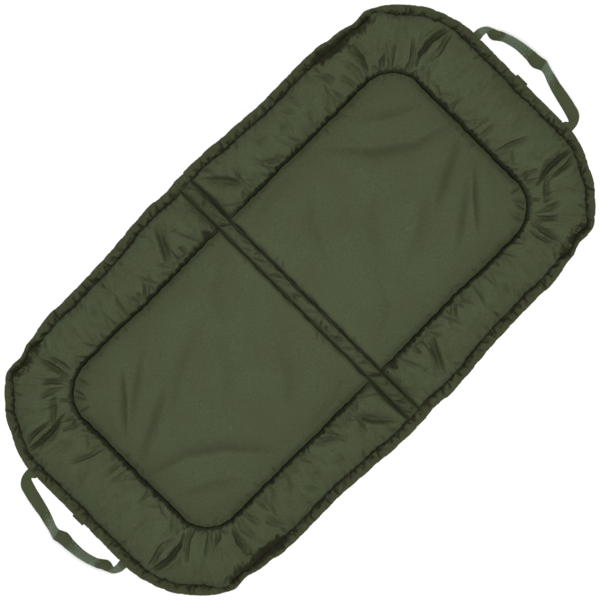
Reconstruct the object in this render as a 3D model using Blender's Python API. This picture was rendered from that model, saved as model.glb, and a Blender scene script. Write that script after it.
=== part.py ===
# Folding unhooking mat: two padded halves, a sewn fold strip between them and two webbing handles.
# X runs along the mat, Y across it and Z up; the origin is at the centre of the underside.
import math

import bpy
import numpy as np

# The mat's overall sizes, in metres
body_length = 1.106
body_width = 0.612
bolster_height = 0.050
fold_width = 0.025

# Outline of each half
side_draw_in = 0.025
corner_length = 0.113
corner_width = 0.157
corner_power = 1.6
narrowing_at_shares = (0.0, 0.18, 0.27, 0.43, 0.75, 0.87, 0.95, 1.0)
narrowing_shares = (0.0, 0.0, 0.12, 0.38, 0.40, 0.72, 1.0, 1.0)

# Bolsters and the bed between them
flange_width = 0.020
end_bolster_width = 0.115
side_bolster_width = 0.099
inner_corner_radius = 0.066
bolster_fall_length = 0.080
bolster_fall_at_shares = (0.0, 0.09, 0.25, 0.50, 0.75, 1.0)
bolster_fall_shares = (0.0, 0.33, 0.50, 0.74, 0.93, 1.0)
crease_depth_share = 0.34
crease_width_share = 0.022
crease_place_share = 0.87
bed_crown = 0.004
bed_ramp_length = 0.017
bed_rim_share = 0.9
round_power = 2.4
round_fill = 0.6

# Cloth, tape and foam
cloth_thickness = 0.0008
tape_thickness = 0.0008
tape_chamfer = 0.0004
base_foam_thickness = 0.012
base_foam_inset = 0.030
base_foam_fold_gap = 0.012
base_foam_fold_bevel = 0.018
core_slack = 0.0022
clearance = 0.0003
floor_gap = 0.0002

# Flange of the ground sheet, where it steps up into the binding
sheet_step_run = 0.0020
fold_rim_width = 0.0030
fold_cloth_setback = 0.0005
fold_tape_setback = 0.0010

# Fold strip
upper_strip_setback = 0.0020
strip_tape_setback = 0.0025

# Handles and edge tabs
webbing_width = 0.025
webbing_thickness = 0.0018
handle_corner_setback = 0.011
handle_reach = 0.043
handle_power = 1.9
handle_pivot_gap = 0.0015
handle_tilt_degrees = 42
handle_tilt_at_shares = (0.0, 0.06, 0.15, 0.32, 0.50, 0.68, 0.85, 0.94, 1.0)
handle_tilt_shares = (0.0, 0.0, 0.35, 1.0, 0.45, 1.0, 0.35, 0.0, 0.0)
tab_width = 0.026
tab_reach = 0.0035
tab_gap = 0.0006

# Where the cross sections stand along one half's edge, and how finely they are cut
side_station_shares = (0.0, 0.021, 0.06, 0.11, 0.16, 0.23, 0.32, 0.45, 0.60, 0.80)
corner_station_shares = (0.0, 0.13, 0.26, 0.38, 0.49, 0.60, 0.69, 0.77, 0.83, 0.87, 0.91, 0.96, 1.0)
end_station_shares = (0.6, 0.2)
across_shares = (0.0, 0.04, 0.12, 0.28, 0.50, 0.72, 0.88, 0.96, 1.0)
core_across_shares = (0.12, 0.28, 0.50, 0.72, 0.88)
bed_ring_shares = (0.0, 0.12, 0.55, 1.0)
curve_steps = 60
handle_steps = 24
nose_steps = 4
core_first_station = 4
core_crease_stations = 0.3
fold_spread_stations = 4

# Levels above the ground, from the layers sewn together in the flange
rim_bottom = floor_gap + tape_thickness + clearance
rim_top = rim_bottom + cloth_thickness
hinge_height = (rim_bottom + rim_top) / 2
cover_rim_bottom = rim_top + clearance
cover_rim_top = cover_rim_bottom + cloth_thickness
tape_upper_bottom = cover_rim_top + clearance
tape_top = tape_upper_bottom + tape_thickness
base_foam_bottom = cloth_thickness + clearance
base_foam_top = base_foam_bottom + base_foam_thickness
bed_edge_top = base_foam_top + clearance + cloth_thickness

# Places along X and Y
half_length = body_length / 2
half_width = body_width / 2
fold_x = fold_width / 2
corner_x = half_length - corner_length
corner_y = half_width - side_draw_in - corner_width
bed_end_x = half_length - flange_width - end_bolster_width
bed_side_y = half_width - flange_width - side_bolster_width
bed_corner_x = bed_end_x - inner_corner_radius
bed_corner_y = bed_side_y - inner_corner_radius
layer_inset = tape_thickness + clearance
arch_height = bolster_height - cover_rim_top
handle_half_span = corner_y - handle_corner_setback

# The cloth's colours
olive = (0.076, 0.089, 0.048, 1.0)
dark_olive = (0.060, 0.070, 0.038, 1.0)
tape_olive = (0.066, 0.075, 0.043, 1.0)
foam_grey = (0.30, 0.30, 0.28, 1.0)


def clear_scene():
    for old in list(bpy.data.objects):
        bpy.data.objects.remove(old, do_unlink=True)


def make_material(name, colour, roughness):
    material = bpy.data.materials.new(name)
    material.use_nodes = True
    shader = material.node_tree.nodes["Principled BSDF"]
    shader.inputs["Base Color"].default_value = colour
    shader.inputs["Roughness"].default_value = roughness
    shader.inputs["Metallic"].default_value = 0.0
    return material


def make_pivot(name, place, turn, parent):
    pivot = bpy.data.objects.new(name, None)
    bpy.context.collection.objects.link(pivot)
    pivot.parent = parent
    pivot.location = place
    pivot.rotation_euler = (0.0, 0.0, turn)
    return pivot


def make_mesh(name, points, faces, pivot_point):
    # Points are given in the mat's own frame and stored about the pivot that carries them
    mesh = bpy.data.meshes.new(name)
    local = np.asarray(points) - np.asarray(pivot_point)
    mesh.from_pydata(local.tolist(), [], faces)
    mesh.validate()
    mesh.shade_smooth()
    mesh.set_sharp_from_angle(angle=math.radians(40))
    return mesh


def make_piece(name, mesh, material, parent):
    piece = bpy.data.objects.new(name, mesh)
    bpy.context.collection.objects.link(piece)
    piece.parent = parent
    if not mesh.materials:
        mesh.materials.append(material)
    return piece


def edge_width(x):
    # Half the mat's width at x, which narrows in steps towards the corners
    share = np.interp(x / corner_x, narrowing_at_shares, narrowing_shares)
    return half_width - side_draw_in * share


def resample(curve, shares):
    steps = np.linalg.norm(np.diff(curve, axis=0), axis=1)
    along = np.concatenate(([0.0], np.cumsum(steps)))
    wanted = np.asarray(shares) * along[-1]
    return np.column_stack([np.interp(wanted, along, curve[:, axis]) for axis in (0, 1)])


def outer_corner():
    # The outline from the bed's corner column, round the mat's corner, to the bed's corner row
    side_x = np.linspace(bed_corner_x, corner_x, curve_steps // 4)
    side = np.column_stack((side_x, edge_width(side_x)))
    turn = np.linspace(0, math.pi / 2, curve_steps)
    bend_x = corner_x + corner_length * np.sin(turn) ** (2 / corner_power)
    bend_y = corner_y + corner_width * np.cos(turn) ** (2 / corner_power)
    bend = np.column_stack((bend_x, bend_y))
    last = np.array([[half_length, bed_corner_y]])
    return np.vstack((side, bend[1:], last))


def quarter_paths():
    # Matching stations on the mat's edge and on the inner seam, from the fold to the end's middle
    side_x = fold_x + (bed_corner_x - fold_x) * np.asarray(side_station_shares)
    outer_side = np.column_stack((side_x, edge_width(side_x)))
    inner_side = np.column_stack((side_x, np.full_like(side_x, bed_side_y)))
    outer_bend = resample(outer_corner(), corner_station_shares)
    turn = np.asarray(corner_station_shares) * math.pi / 2
    inner_x = bed_corner_x + inner_corner_radius * np.sin(turn)
    inner_y = bed_corner_y + inner_corner_radius * np.cos(turn)
    inner_bend = np.column_stack((inner_x, inner_y))
    end_y = bed_corner_y * np.asarray(end_station_shares)
    outer_end = np.column_stack((np.full_like(end_y, half_length), end_y))
    inner_end = np.column_stack((np.full_like(end_y, bed_end_x), end_y))
    outer = np.vstack((outer_side, outer_bend, outer_end))
    inner = np.vstack((inner_side, inner_bend, inner_end))
    return outer, inner


def mirrored(quarter):
    # A whole U-shaped path, from the front of the fold (-Y) round the end to its back
    front = quarter * np.array([1.0, -1.0])
    return np.vstack((front, quarter[::-1]))


def inward(path):
    ahead = np.gradient(path, axis=0)
    ahead[0] = (1.0, 0.0)
    ahead[-1] = (-1.0, 0.0)
    ahead /= np.linalg.norm(ahead, axis=1)[:, None]
    return np.column_stack((-ahead[:, 1], ahead[:, 0]))


outer_quarter, inner_quarter = quarter_paths()
edge_path = mirrored(outer_quarter)
edge_inward = inward(edge_path)
seam_path = mirrored(inner_quarter)
seam_inward = inward(seam_path)
station_count = len(edge_path)
crease_station = len(side_station_shares) + corner_station_shares.index(crease_place_share)


def inset_path(path, normals, inset, fold_at):
    # The path moved inwards, with its two ends on the line across the mat at fold_at
    moved = path + normals * inset
    still = path[fold_spread_stations, 0]
    near = path[:, 0] < still
    squeeze = (still - fold_at) / (still - fold_x)
    moved[near, 0] = fold_at + (path[near, 0] - fold_x) * squeeze
    return moved


def ring(path, normals, inset, fold_at, height):
    flat = inset_path(path, normals, inset, fold_at)
    return np.column_stack((flat, np.full(len(flat), height)))


def solid_from_rings(rings):
    # Closed loops of equal length, joined one to the next, the first and last of them filled
    count = len(rings[0])
    points = np.vstack(rings)
    faces = [list(range(count))[::-1]]
    for level in range(len(rings) - 1):
        low = level * count
        high = low + count
        for i in range(count):
            following = (i + 1) % count
            faces.append([low + i, low + following, high + following, high + i])
    top = (len(rings) - 1) * count
    faces.append([top + i for i in range(count)])
    return points, faces


def solid_from_sections(sections):
    # Closed cross sections swept along an open path, with both end sections filled
    return solid_from_rings(sections)


def solid_from_grids(upper, lower):
    # Two matching grids of points, joined along their four borders
    rows, columns = upper.shape[:2]
    points = np.vstack((upper.reshape(-1, 3), lower.reshape(-1, 3)))
    below = rows * columns
    faces = []
    for r in range(rows - 1):
        for c in range(columns - 1):
            a = r * columns + c
            b = a + columns
            faces.append([a, a + 1, b + 1, b])
            faces.append([below + a, below + b, below + b + 1, below + a + 1])
    border = [c for c in range(columns)]
    border += [r * columns + columns - 1 for r in range(1, rows)]
    border += [(rows - 1) * columns + c for c in range(columns - 2, -1, -1)]
    border += [r * columns for r in range(rows - 2, 0, -1)]
    for here, after in zip(border, border[1:] + border[:1]):
        faces.append([here, below + here, below + after, after])
    return points, faces


def fold_ramp(x):
    # 0 at the fold's seam, 1 where the bed has reached its full thickness
    return np.clip((x - fold_x - fold_cloth_setback) / bed_ramp_length, 0.0, 1.0)


def bolster_rise(station_x, station):
    # Height of the bolster's arch at a station: it falls to the fold and pinches at each crease
    along = np.clip((station_x - fold_x) / bolster_fall_length, 0.0, 1.0)
    fall = np.interp(along, bolster_fall_at_shares, bolster_fall_shares)
    to_crease = np.minimum(
        abs(station - crease_station), abs(station - (station_count - 1 - crease_station))
    )
    crease = np.exp(-((to_crease / (crease_width_share * station_count)) ** 2))
    return arch_height * fall, crease


def bolster_surface(stations, shares):
    # The outer face of the bolster cover, from the outer seam (share 0) to the inner seam (share 1)
    index = np.arange(station_count)
    outer_seam = edge_path + edge_inward * flange_width
    start = np.column_stack([np.interp(stations, index, outer_seam[:, k]) for k in (0, 1)])
    stop = np.column_stack([np.interp(stations, index, seam_path[:, k]) for k in (0, 1)])
    grid = np.zeros((len(stations), len(shares), 3))
    for column, share in enumerate(shares):
        flat = start + (stop - start) * share
        arch, crease = bolster_rise(flat[:, 0], stations)
        inner_level = cover_rim_top + (bed_edge_top - cover_rim_top) * fold_ramp(flat[:, 0])
        base = cover_rim_top + (inner_level - cover_rim_top) * share
        swell = (1 - abs(2 * share - 1) ** round_power) ** round_fill
        pinch = 1 - crease_depth_share * crease * (1 - share)
        peak = (arch - (inner_level - cover_rim_top) * share) * swell * pinch
        grid[:, column, :2] = flat
        grid[:, column, 2] = base + np.maximum(peak, 0.0)
    return grid


def below_surface(grid, thickness):
    along = np.gradient(grid, axis=0)
    across = np.gradient(grid, axis=1)
    up = np.cross(along, across)
    up /= np.linalg.norm(up, axis=2)[:, :, None]
    up *= np.where(up[:, :, 2:3] < 0, -1.0, 1.0)
    lower = grid - up * thickness
    # The two ends stay in the plane of the fold's seam
    lower[0, :, 0] = grid[0, :, 0]
    lower[-1, :, 0] = grid[-1, :, 0]
    return lower


def build_ground_sheet():
    fold_step = fold_x + fold_rim_width
    step_inset = flange_width + sheet_step_run
    step_fold = fold_step + sheet_step_run
    bead = cloth_thickness / 2
    lay = (
        (step_inset, step_fold, 0.0),
        (flange_width, fold_step, rim_bottom),
        (layer_inset, fold_x, rim_bottom),
        (layer_inset, fold_x - bead, hinge_height),
        (layer_inset, fold_x, rim_top),
        (flange_width + clearance, fold_step + clearance, rim_top),
        (step_inset + clearance, step_fold + clearance, cloth_thickness),
    )
    rings = [ring(edge_path, edge_inward, *row) for row in lay]
    return solid_from_rings(rings)


def build_base_foam():
    low_fold = fold_x + base_foam_fold_gap
    high_fold = low_fold + base_foam_fold_bevel
    lower = ring(edge_path, edge_inward, base_foam_inset, low_fold, base_foam_bottom)
    upper = ring(edge_path, edge_inward, base_foam_inset, high_fold, base_foam_top)
    return solid_from_rings([lower, upper])


def bed_ring(share, drop):
    # One loop of the bed panel: share 0 is its sewn edge and share 1 the rim of its level middle
    edge_gap = clearance * 2
    inset = edge_gap + inner_corner_radius * bed_rim_share * share
    fold_at = fold_x + fold_cloth_setback
    if share > 0:
        fold_at += bed_ramp_length * (1 + share)
    loop = ring(seam_path, seam_inward, inset, fold_at, 0.0)
    level = cover_rim_top + (bed_edge_top - cover_rim_top) * fold_ramp(loop[:, 0])
    crown = bed_crown * math.sin(share * math.pi / 2)
    loop[:, 2] = level + crown - drop
    return loop


def build_bed_panel():
    lower = [bed_ring(share, cloth_thickness) for share in reversed(bed_ring_shares)]
    upper = [bed_ring(share, 0.0) for share in bed_ring_shares]
    return solid_from_rings(lower + upper)


def build_bolster_cover():
    stations = np.arange(station_count, dtype=float)
    arch = bolster_surface(stations, across_shares)
    arch[0, :, 0] = fold_x + fold_cloth_setback
    arch[-1, :, 0] = fold_x + fold_cloth_setback
    rim = ring(edge_path, edge_inward, layer_inset, fold_x + fold_cloth_setback, cover_rim_top)
    upper = np.concatenate((rim[:, None, :], arch), axis=1)
    lower = below_surface(upper, cloth_thickness)
    return solid_from_grids(upper, lower)


def build_core(first, last):
    # A foam block under the cover, from one place along the stations to another
    whole = range(math.floor(first) + 1, math.ceil(last))
    places = [first, *whole, last]
    index = np.arange(station_count)
    arch = bolster_surface(index.astype(float), core_across_shares)
    upper = np.zeros((len(places), len(core_across_shares), 3))
    for column in range(len(core_across_shares)):
        for axis in range(3):
            upper[:, column, axis] = np.interp(places, index, arch[:, column, axis])
    upper[:, :, 2] -= cloth_thickness + core_slack
    lower = upper.copy()
    lower[:, :, 2] = base_foam_top + clearance
    return solid_from_grids(upper, lower)


def tape_section(inset_outer, inset_inner):
    # Insets and heights round a folded tape, open towards the mat
    chamfer = tape_chamfer
    hollow = inset_outer + tape_thickness
    return (
        (inset_inner, floor_gap),
        (inset_outer + chamfer, floor_gap),
        (inset_outer, floor_gap + chamfer),
        (inset_outer, tape_top - chamfer),
        (inset_outer + chamfer, tape_top),
        (inset_inner, tape_top),
        (inset_inner, tape_upper_bottom),
        (hollow, tape_upper_bottom),
        (hollow, floor_gap + tape_thickness),
        (inset_inner, floor_gap + tape_thickness),
    )


def build_binding():
    section = tape_section(0.0, flange_width - clearance * 2)
    fold_at = fold_x + fold_tape_setback
    lines = [ring(edge_path, edge_inward, inset, fold_at, height) for inset, height in section]
    sections = np.stack(lines, axis=1)
    return solid_from_sections(list(sections))


def build_strip_binding():
    # The short tape that closes the back end of the fold strip
    section = tape_section(0.0, flange_width - clearance * 2)
    reach = fold_x - strip_tape_setback
    ends = []
    for x in (-reach, reach):
        ends.append(np.array([(x, half_width - inset, height) for inset, height in section]))
    return solid_from_sections(ends)


def build_lower_strip():
    bead = cloth_thickness / 2
    reach = fold_x - bead - clearance
    side = half_width - layer_inset
    section = (
        (-reach + bead, rim_bottom),
        (-reach, hinge_height),
        (-reach + bead, rim_top),
        (reach - bead, rim_top),
        (reach, hinge_height),
        (reach - bead, rim_bottom),
    )
    ends = [np.array([(x, y, z) for x, z in section]) for y in (-side, side)]
    return solid_from_sections(ends)


def build_upper_strip():
    reach = fold_x - upper_strip_setback
    side = half_width - layer_inset
    section = (
        (-reach, cover_rim_bottom),
        (-reach, cover_rim_top),
        (reach, cover_rim_top),
        (reach, cover_rim_bottom),
    )
    ends = [np.array([(x, y, z) for x, z in section]) for y in (-side, side)]
    return solid_from_sections(ends)


def handle_centre():
    # The handle's centre line, from its front end to its back end, beyond the mat's end
    turn = np.linspace(-math.pi / 2, math.pi / 2, handle_steps + 1)
    out = handle_reach * abs(np.cos(turn)) ** (2 / handle_power)
    side = handle_half_span * np.sign(turn) * abs(np.sin(turn)) ** (2 / handle_power)
    start = half_length + handle_pivot_gap
    return np.column_stack((start + out, side))


def build_handle():
    centre = handle_centre()
    ahead = np.gradient(centre, axis=0)
    ahead[0] = (1.0, 0.0)
    ahead[-1] = (-1.0, 0.0)
    ahead /= np.linalg.norm(ahead, axis=1)[:, None]
    # The side vector points to the loop's inside, so a tilted section lifts its outer edge
    across = np.column_stack((-ahead[:, 1], ahead[:, 0])) * webbing_width / 2
    middle = hinge_height + clearance
    half = webbing_thickness / 2
    shares = np.linspace(0.0, 1.0, len(centre))
    tilts = np.interp(shares, handle_tilt_at_shares, handle_tilt_shares)
    sections = []
    for point, side, share in zip(centre, across, tilts):
        tilt = math.radians(handle_tilt_degrees) * share
        flat = side * math.cos(tilt)
        rise = webbing_width / 2 * math.sin(tilt)
        lean = side / np.linalg.norm(side) * half * math.sin(tilt)
        thick = half * math.cos(tilt)
        level = middle + rise
        section = []
        for edge, face in ((1, 1), (1, -1), (-1, -1), (-1, 1)):
            away = point + flat * edge + lean * face
            section.append((*away, level - rise * edge + thick * face))
        sections.append(np.array(section))
    first = handle_nose(centre[0], across[0], middle, half)
    last = handle_nose(centre[-1], across[-1], middle, half)
    return solid_from_sections(first[::-1] + sections + last)


def handle_nose(point, side, middle, half):
    # The webbing's end, thinned to a round nose about the line that it turns on
    rings = []
    for step in range(1, nose_steps):
        lean = step / nose_steps * math.pi / 2
        back = point - np.array([half * math.sin(lean), 0.0])
        thin = half * math.cos(lean)
        corners = ((side, thin), (side, -thin), (-side, -thin), (-side, thin))
        rings.append(np.array([(*(back + away), middle + up) for away, up in corners]))
    return rings


def build_tab():
    # A tape folded back on itself, seen as a flat loop that stands out of the binding
    start = half_length + clearance
    nose = half_length + tab_reach
    middle = (floor_gap + tape_top) / 2
    outer = tape_thickness + tab_gap / 2
    inner = tab_gap / 2
    turn = np.linspace(-math.pi / 2, math.pi / 2, nose_steps + 1)
    profile = [(start, middle - outer)]
    profile += [(nose - outer + outer * math.cos(a), middle + outer * math.sin(a)) for a in turn]
    profile += [(start, middle + outer), (start, middle + inner)]
    profile += [(nose - outer + inner * math.cos(a), middle + inner * math.sin(a)) for a in turn[::-1]]
    profile += [(start, middle - inner)]
    ends = [np.array([(x, y, z) for x, z in profile]) for y in (-tab_width / 2, tab_width / 2)]
    return solid_from_sections(ends)


def turned_out(mesh_data):
    # The same solid with its faces pointing outwards
    points, faces = mesh_data
    volume = 0.0
    for face in faces:
        for second, third in zip(face[1:-1], face[2:]):
            volume += np.dot(points[face[0]], np.cross(points[second], points[third]))
    if volume < 0:
        faces = [face[::-1] for face in faces]
    return points, faces


def build_half_pieces(cloth, dark_cloth, tape, foam, pivot_point):
    # Every piece of one half but its handle, as (name, mesh, material)
    core_stop = crease_station - core_crease_stations
    end_first = crease_station + core_crease_stations
    last = station_count - 1
    shapes = (
        ("ground_sheet", build_ground_sheet(), dark_cloth),
        ("base_foam", build_base_foam(), foam),
        ("bed_panel", build_bed_panel(), cloth),
        ("bolster_cover", build_bolster_cover(), cloth),
        ("end_bolster_foam", build_core(end_first, last - end_first), foam),
        ("front_bolster_foam", build_core(core_first_station, core_stop), foam),
        ("back_bolster_foam", build_core(last - core_stop, last - core_first_station), foam),
        ("edge_binding", build_binding(), tape),
        ("edge_tab", build_tab(), tape),
    )
    pieces = []
    for name, shape, material in shapes:
        points, faces = turned_out(shape)
        pieces.append((name, make_mesh(name, points, faces, pivot_point), material))
    return pieces


def build_mat():
    clear_scene()
    cloth = make_material("olive_coated_nylon", olive, 0.55)
    dark_cloth = make_material("ground_sheet_nylon", dark_olive, 0.6)
    tape = make_material("binding_tape", tape_olive, 0.7)
    foam = make_material("grey_foam", foam_grey, 0.9)

    pivot_point = (fold_x, 0.0, hinge_height)
    handle_point = (half_length + handle_pivot_gap, 0.0, hinge_height + clearance)
    handle_offset = tuple(np.asarray(handle_point) - np.asarray(pivot_point))
    pieces = build_half_pieces(cloth, dark_cloth, tape, foam, pivot_point)
    points, faces = turned_out(build_handle())
    handle_mesh = make_mesh("handle", points, faces, handle_point)

    opposite = {
        "front_bolster_foam": "back_bolster_foam",
        "back_bolster_foam": "front_bolster_foam",
    }
    for side, sign, turn in (("left", -1, math.pi), ("right", 1, 0.0)):
        place = (sign * fold_x, 0.0, hinge_height)
        pivot = make_pivot(side + "_half_pivot", place, turn, None)
        for name, mesh, material in pieces:
            # The left half is the right one turned round, so its front block lies at the back
            here = opposite.get(name, name) if side == "left" else name
            make_piece(side + "_" + here, mesh, material, pivot)
        handle_pivot = make_pivot(side + "_handle_pivot", handle_offset, 0.0, pivot)
        make_piece(side + "_handle", handle_mesh, tape, handle_pivot)

    strip_shapes = (
        ("lower_fold_strip", build_lower_strip(), dark_cloth),
        ("upper_fold_strip", build_upper_strip(), cloth),
    )
    for name, shape, material in strip_shapes:
        points, faces = turned_out(shape)
        make_piece(name, make_mesh(name, points, faces, (0.0, 0.0, 0.0)), material, None)
    points, faces = turned_out(build_strip_binding())
    strip_tape = make_mesh("strip_binding", points, faces, (0.0, 0.0, 0.0))
    make_piece("back_strip_binding", strip_tape, tape, None)
    front = make_piece("front_strip_binding", strip_tape, tape, None)
    front.rotation_euler = (0.0, 0.0, math.pi)


build_mat()
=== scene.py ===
import math

import bmesh
import bpy
import numpy as np
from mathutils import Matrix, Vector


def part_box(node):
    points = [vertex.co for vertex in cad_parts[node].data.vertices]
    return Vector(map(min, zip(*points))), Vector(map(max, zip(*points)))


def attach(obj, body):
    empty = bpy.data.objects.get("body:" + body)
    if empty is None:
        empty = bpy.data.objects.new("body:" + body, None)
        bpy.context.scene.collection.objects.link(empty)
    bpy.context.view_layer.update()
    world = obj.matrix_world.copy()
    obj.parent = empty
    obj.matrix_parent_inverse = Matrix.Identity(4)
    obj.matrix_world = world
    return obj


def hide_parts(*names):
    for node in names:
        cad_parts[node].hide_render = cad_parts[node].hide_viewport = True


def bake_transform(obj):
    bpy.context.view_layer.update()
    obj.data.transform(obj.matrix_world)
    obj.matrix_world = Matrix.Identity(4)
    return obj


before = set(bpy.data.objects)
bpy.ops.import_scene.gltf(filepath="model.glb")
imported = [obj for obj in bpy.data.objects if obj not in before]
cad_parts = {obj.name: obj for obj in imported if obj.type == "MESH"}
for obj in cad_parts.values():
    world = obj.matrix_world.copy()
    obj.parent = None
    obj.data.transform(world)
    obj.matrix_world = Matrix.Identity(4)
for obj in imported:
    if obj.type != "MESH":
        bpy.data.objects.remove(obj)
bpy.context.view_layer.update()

print("frame loaded")

# Every piece is sewn from grids of points, front fold to back fold, and given a back face
mat = {  # sizes in metres that the pieces share; one half, from the fold at +X
    "halfLength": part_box("right_edge_binding")[1].x,
    "halfWidth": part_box("right_edge_binding")[1].y,
    "foldX": 0.0125,
    "foldCut": 0.0005,  # from the fold's line to where the cloth of a half starts
    "drawIn": 0.025,  # how far the sides draw in before the corners
    "cornerLength": 0.113,
    "cornerWidth": 0.157,
    "cornerPower": 1.6,
    "bedEnd": 0.418,  # inner seam, along X and Y
    "bedSide": 0.187,
    "bedRadius": 0.066,
    "flange": 0.0195,  # the sewn margin outside the sleeve
    "rimLevel": 0.0032,
    "seamLevel": 0.0102,
    "bendLift": 0.0030,  # the seam lies higher round the bed's corners
    "foldRun": 0.011,
}
narrowingAt = (0.0, 0.18, 0.27, 0.43, 0.75, 0.87, 0.95, 1.0)
narrowing = (0.0, 0.0, 0.12, 0.38, 0.40, 0.72, 1.0, 1.0)
cornerX = mat["halfLength"] - mat["cornerLength"]
cornerY = mat["halfWidth"] - mat["drawIn"] - mat["cornerWidth"]
bendX = mat["bedEnd"] - mat["bedRadius"]
bendY = mat["bedSide"] - mat["bedRadius"]

# The sewn edge isn't the same front and back: millimetres outwards at places along X
frontNudge = (
    (0, 15, 35, 65, 155, 200, 230, 290, 350, 365, 380, 402, 425, 440, 462, 485, 500, 515, 532, 550),
    (-1, -1, -3, 1, 1.5, 1.5, 0, -1, 2, 2.3, -0.5, 3.2, -3, -1, 2, -1.4, -1.4, 0.5, -4.5, 0),
)
backNudge = (
    (0, 35, 65, 95, 125, 155, 200, 290, 350, 365, 380, 395, 410, 425, 440, 455, 470, 500, 530, 550),
    (0.5, 1, 0, -1.8, -1.4, -0.7, -0.5, 1, 1, -0.7, 0.5, 0.5, -1.8, -1, 1, 0, -1, -1.4, 3.2, 0),
)


def unit(vectors):
    return vectors / np.maximum(np.linalg.norm(vectors, axis=-1, keepdims=True), 1e-12)


def smoothed(values, rounds):  # along the first axis, both ends kept
    values = np.array(values, float)
    for _ in range(rounds):
        values[1:-1] = (values[:-2] + 2 * values[1:-1] + values[2:]) / 4
    return values


def runOf(path):  # the distance along a path at each of its points
    return np.concatenate(([0.0], np.cumsum(np.linalg.norm(np.diff(path, axis=0), axis=1))))


def stepped(curve, count):  # the curve cut again into even steps
    run = runOf(curve)
    wanted = np.linspace(0, run[-1], count)
    return np.column_stack([np.interp(wanted, run, curve[:, k]) for k in range(curve.shape[1])])


def edgeWidth(x):
    return mat["halfWidth"] - mat["drawIn"] * np.interp(x / cornerX, narrowingAt, narrowing)


def sewnPaths(sideCount, bendCount, endCount):
    # one half's outer edge and inner seam, station by station, from front fold to back fold
    sideX = np.linspace(mat["foldX"] + mat["foldCut"], bendX, sideCount, endpoint=False)
    outerSide = np.column_stack((sideX, edgeWidth(sideX)))
    innerSide = np.column_stack((sideX, np.full_like(sideX, mat["bedSide"])))
    x = np.linspace(bendX, cornerX, 60)
    turn = np.linspace(0, math.pi / 2, 240)
    bendOutX = cornerX + mat["cornerLength"] * np.sin(turn) ** (2 / mat["cornerPower"])
    bendOutY = cornerY + mat["cornerWidth"] * np.cos(turn) ** (2 / mat["cornerPower"])
    bend = np.vstack((
        np.column_stack((x, edgeWidth(x))),
        np.column_stack((bendOutX, bendOutY))[1:],
        [[mat["halfLength"], bendY]],
    ))
    outerBend = stepped(bend, bendCount)
    turn = np.linspace(0, math.pi / 2, bendCount)
    innerBend = np.column_stack((
        bendX + mat["bedRadius"] * np.sin(turn), bendY + mat["bedRadius"] * np.cos(turn)
    ))
    endY = np.linspace(bendY, 0, endCount, endpoint=False)[1:]
    outerEnd = np.column_stack((np.full_like(endY, mat["halfLength"]), endY))
    innerEnd = np.column_stack((np.full_like(endY, mat["bedEnd"]), endY))
    outer = np.vstack((outerSide, outerBend, outerEnd))
    inner = np.vstack((innerSide, innerBend, innerEnd))
    outer = np.vstack((outer * [1, -1], outer[::-1]))
    inner = np.vstack((inner * [1, -1], inner[::-1]))
    fade = np.clip((abs(outer[:, 1]) - 0.10) / 0.05, 0, 1) / 1000
    front = np.interp(outer[:, 0] * 1000, *frontNudge) * fade
    back = np.interp(outer[:, 0] * 1000, *backNudge) * fade
    outer[:, 1] += np.where(outer[:, 1] < 0, -front, back)
    outer = smoothed(outer, max(2, int((sideCount / 60) ** 2)))
    ahead = np.gradient(outer, axis=0)
    ahead[0], ahead[-1] = (1, 0), (-1, 0)
    ahead = unit(ahead)
    inward = unit(smoothed(np.column_stack((-ahead[:, 1], ahead[:, 0])), sideCount // 8))
    inward[0], inward[-1] = (0, 1), (0, -1)
    return outer, inner, inward


def rounded(share, power=2.0):  # 0 to 1 along a quarter of an oval
    share = np.clip(share, 0, 1)
    return (1 - (1 - share) ** power) ** (1 / power)


def foldRise(x, later=0.0):  # how far the padding has risen out of the fold's seam
    return rounded((x - later - mat["foldX"] - mat["foldCut"]) / mat["foldRun"])


def bedDepth(x, y):  # distance inside the inner seam, negative outside it
    overX = x - bendX
    overY = abs(y) - bendY
    corner = mat["bedRadius"] - np.hypot(overX, overY)
    straight = np.minimum(mat["bedEnd"] - x, mat["bedSide"] - abs(y))
    return np.where((overX > 0) & (overY > 0), corner, straight)


def nearFold(x):  # the inner seam's shade is broader next to the fold strip
    return 1 + (seamLook["nearFold"] - 1) * np.clip((0.11 - x) / 0.06, 0, 1)


def inBend(x, y):  # 1 in the middle of the inner seam's corners, 0 on its straights
    return np.clip(np.minimum(x - bendX, abs(y) - bendY) / (0.35 * mat["bedRadius"]), 0, 1)


foldForm = {  # the section of a drawn fold, in shares of its half width unless in metres
    "lean": 0.55,  # one side is steeper than the other
    "leastWidth": 0.0012, "shoulder": 0.32, "shoulderAt": 2.0, "shoulderWidth": 1.1,
    "darkWidth": 0.75, "darkFrom": 2.2,  # a fold this much wider than deep gets no painted shade at its bottom
    "pinReach": 0.0016, "pinned": (0.12, 0.88),
}


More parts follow.
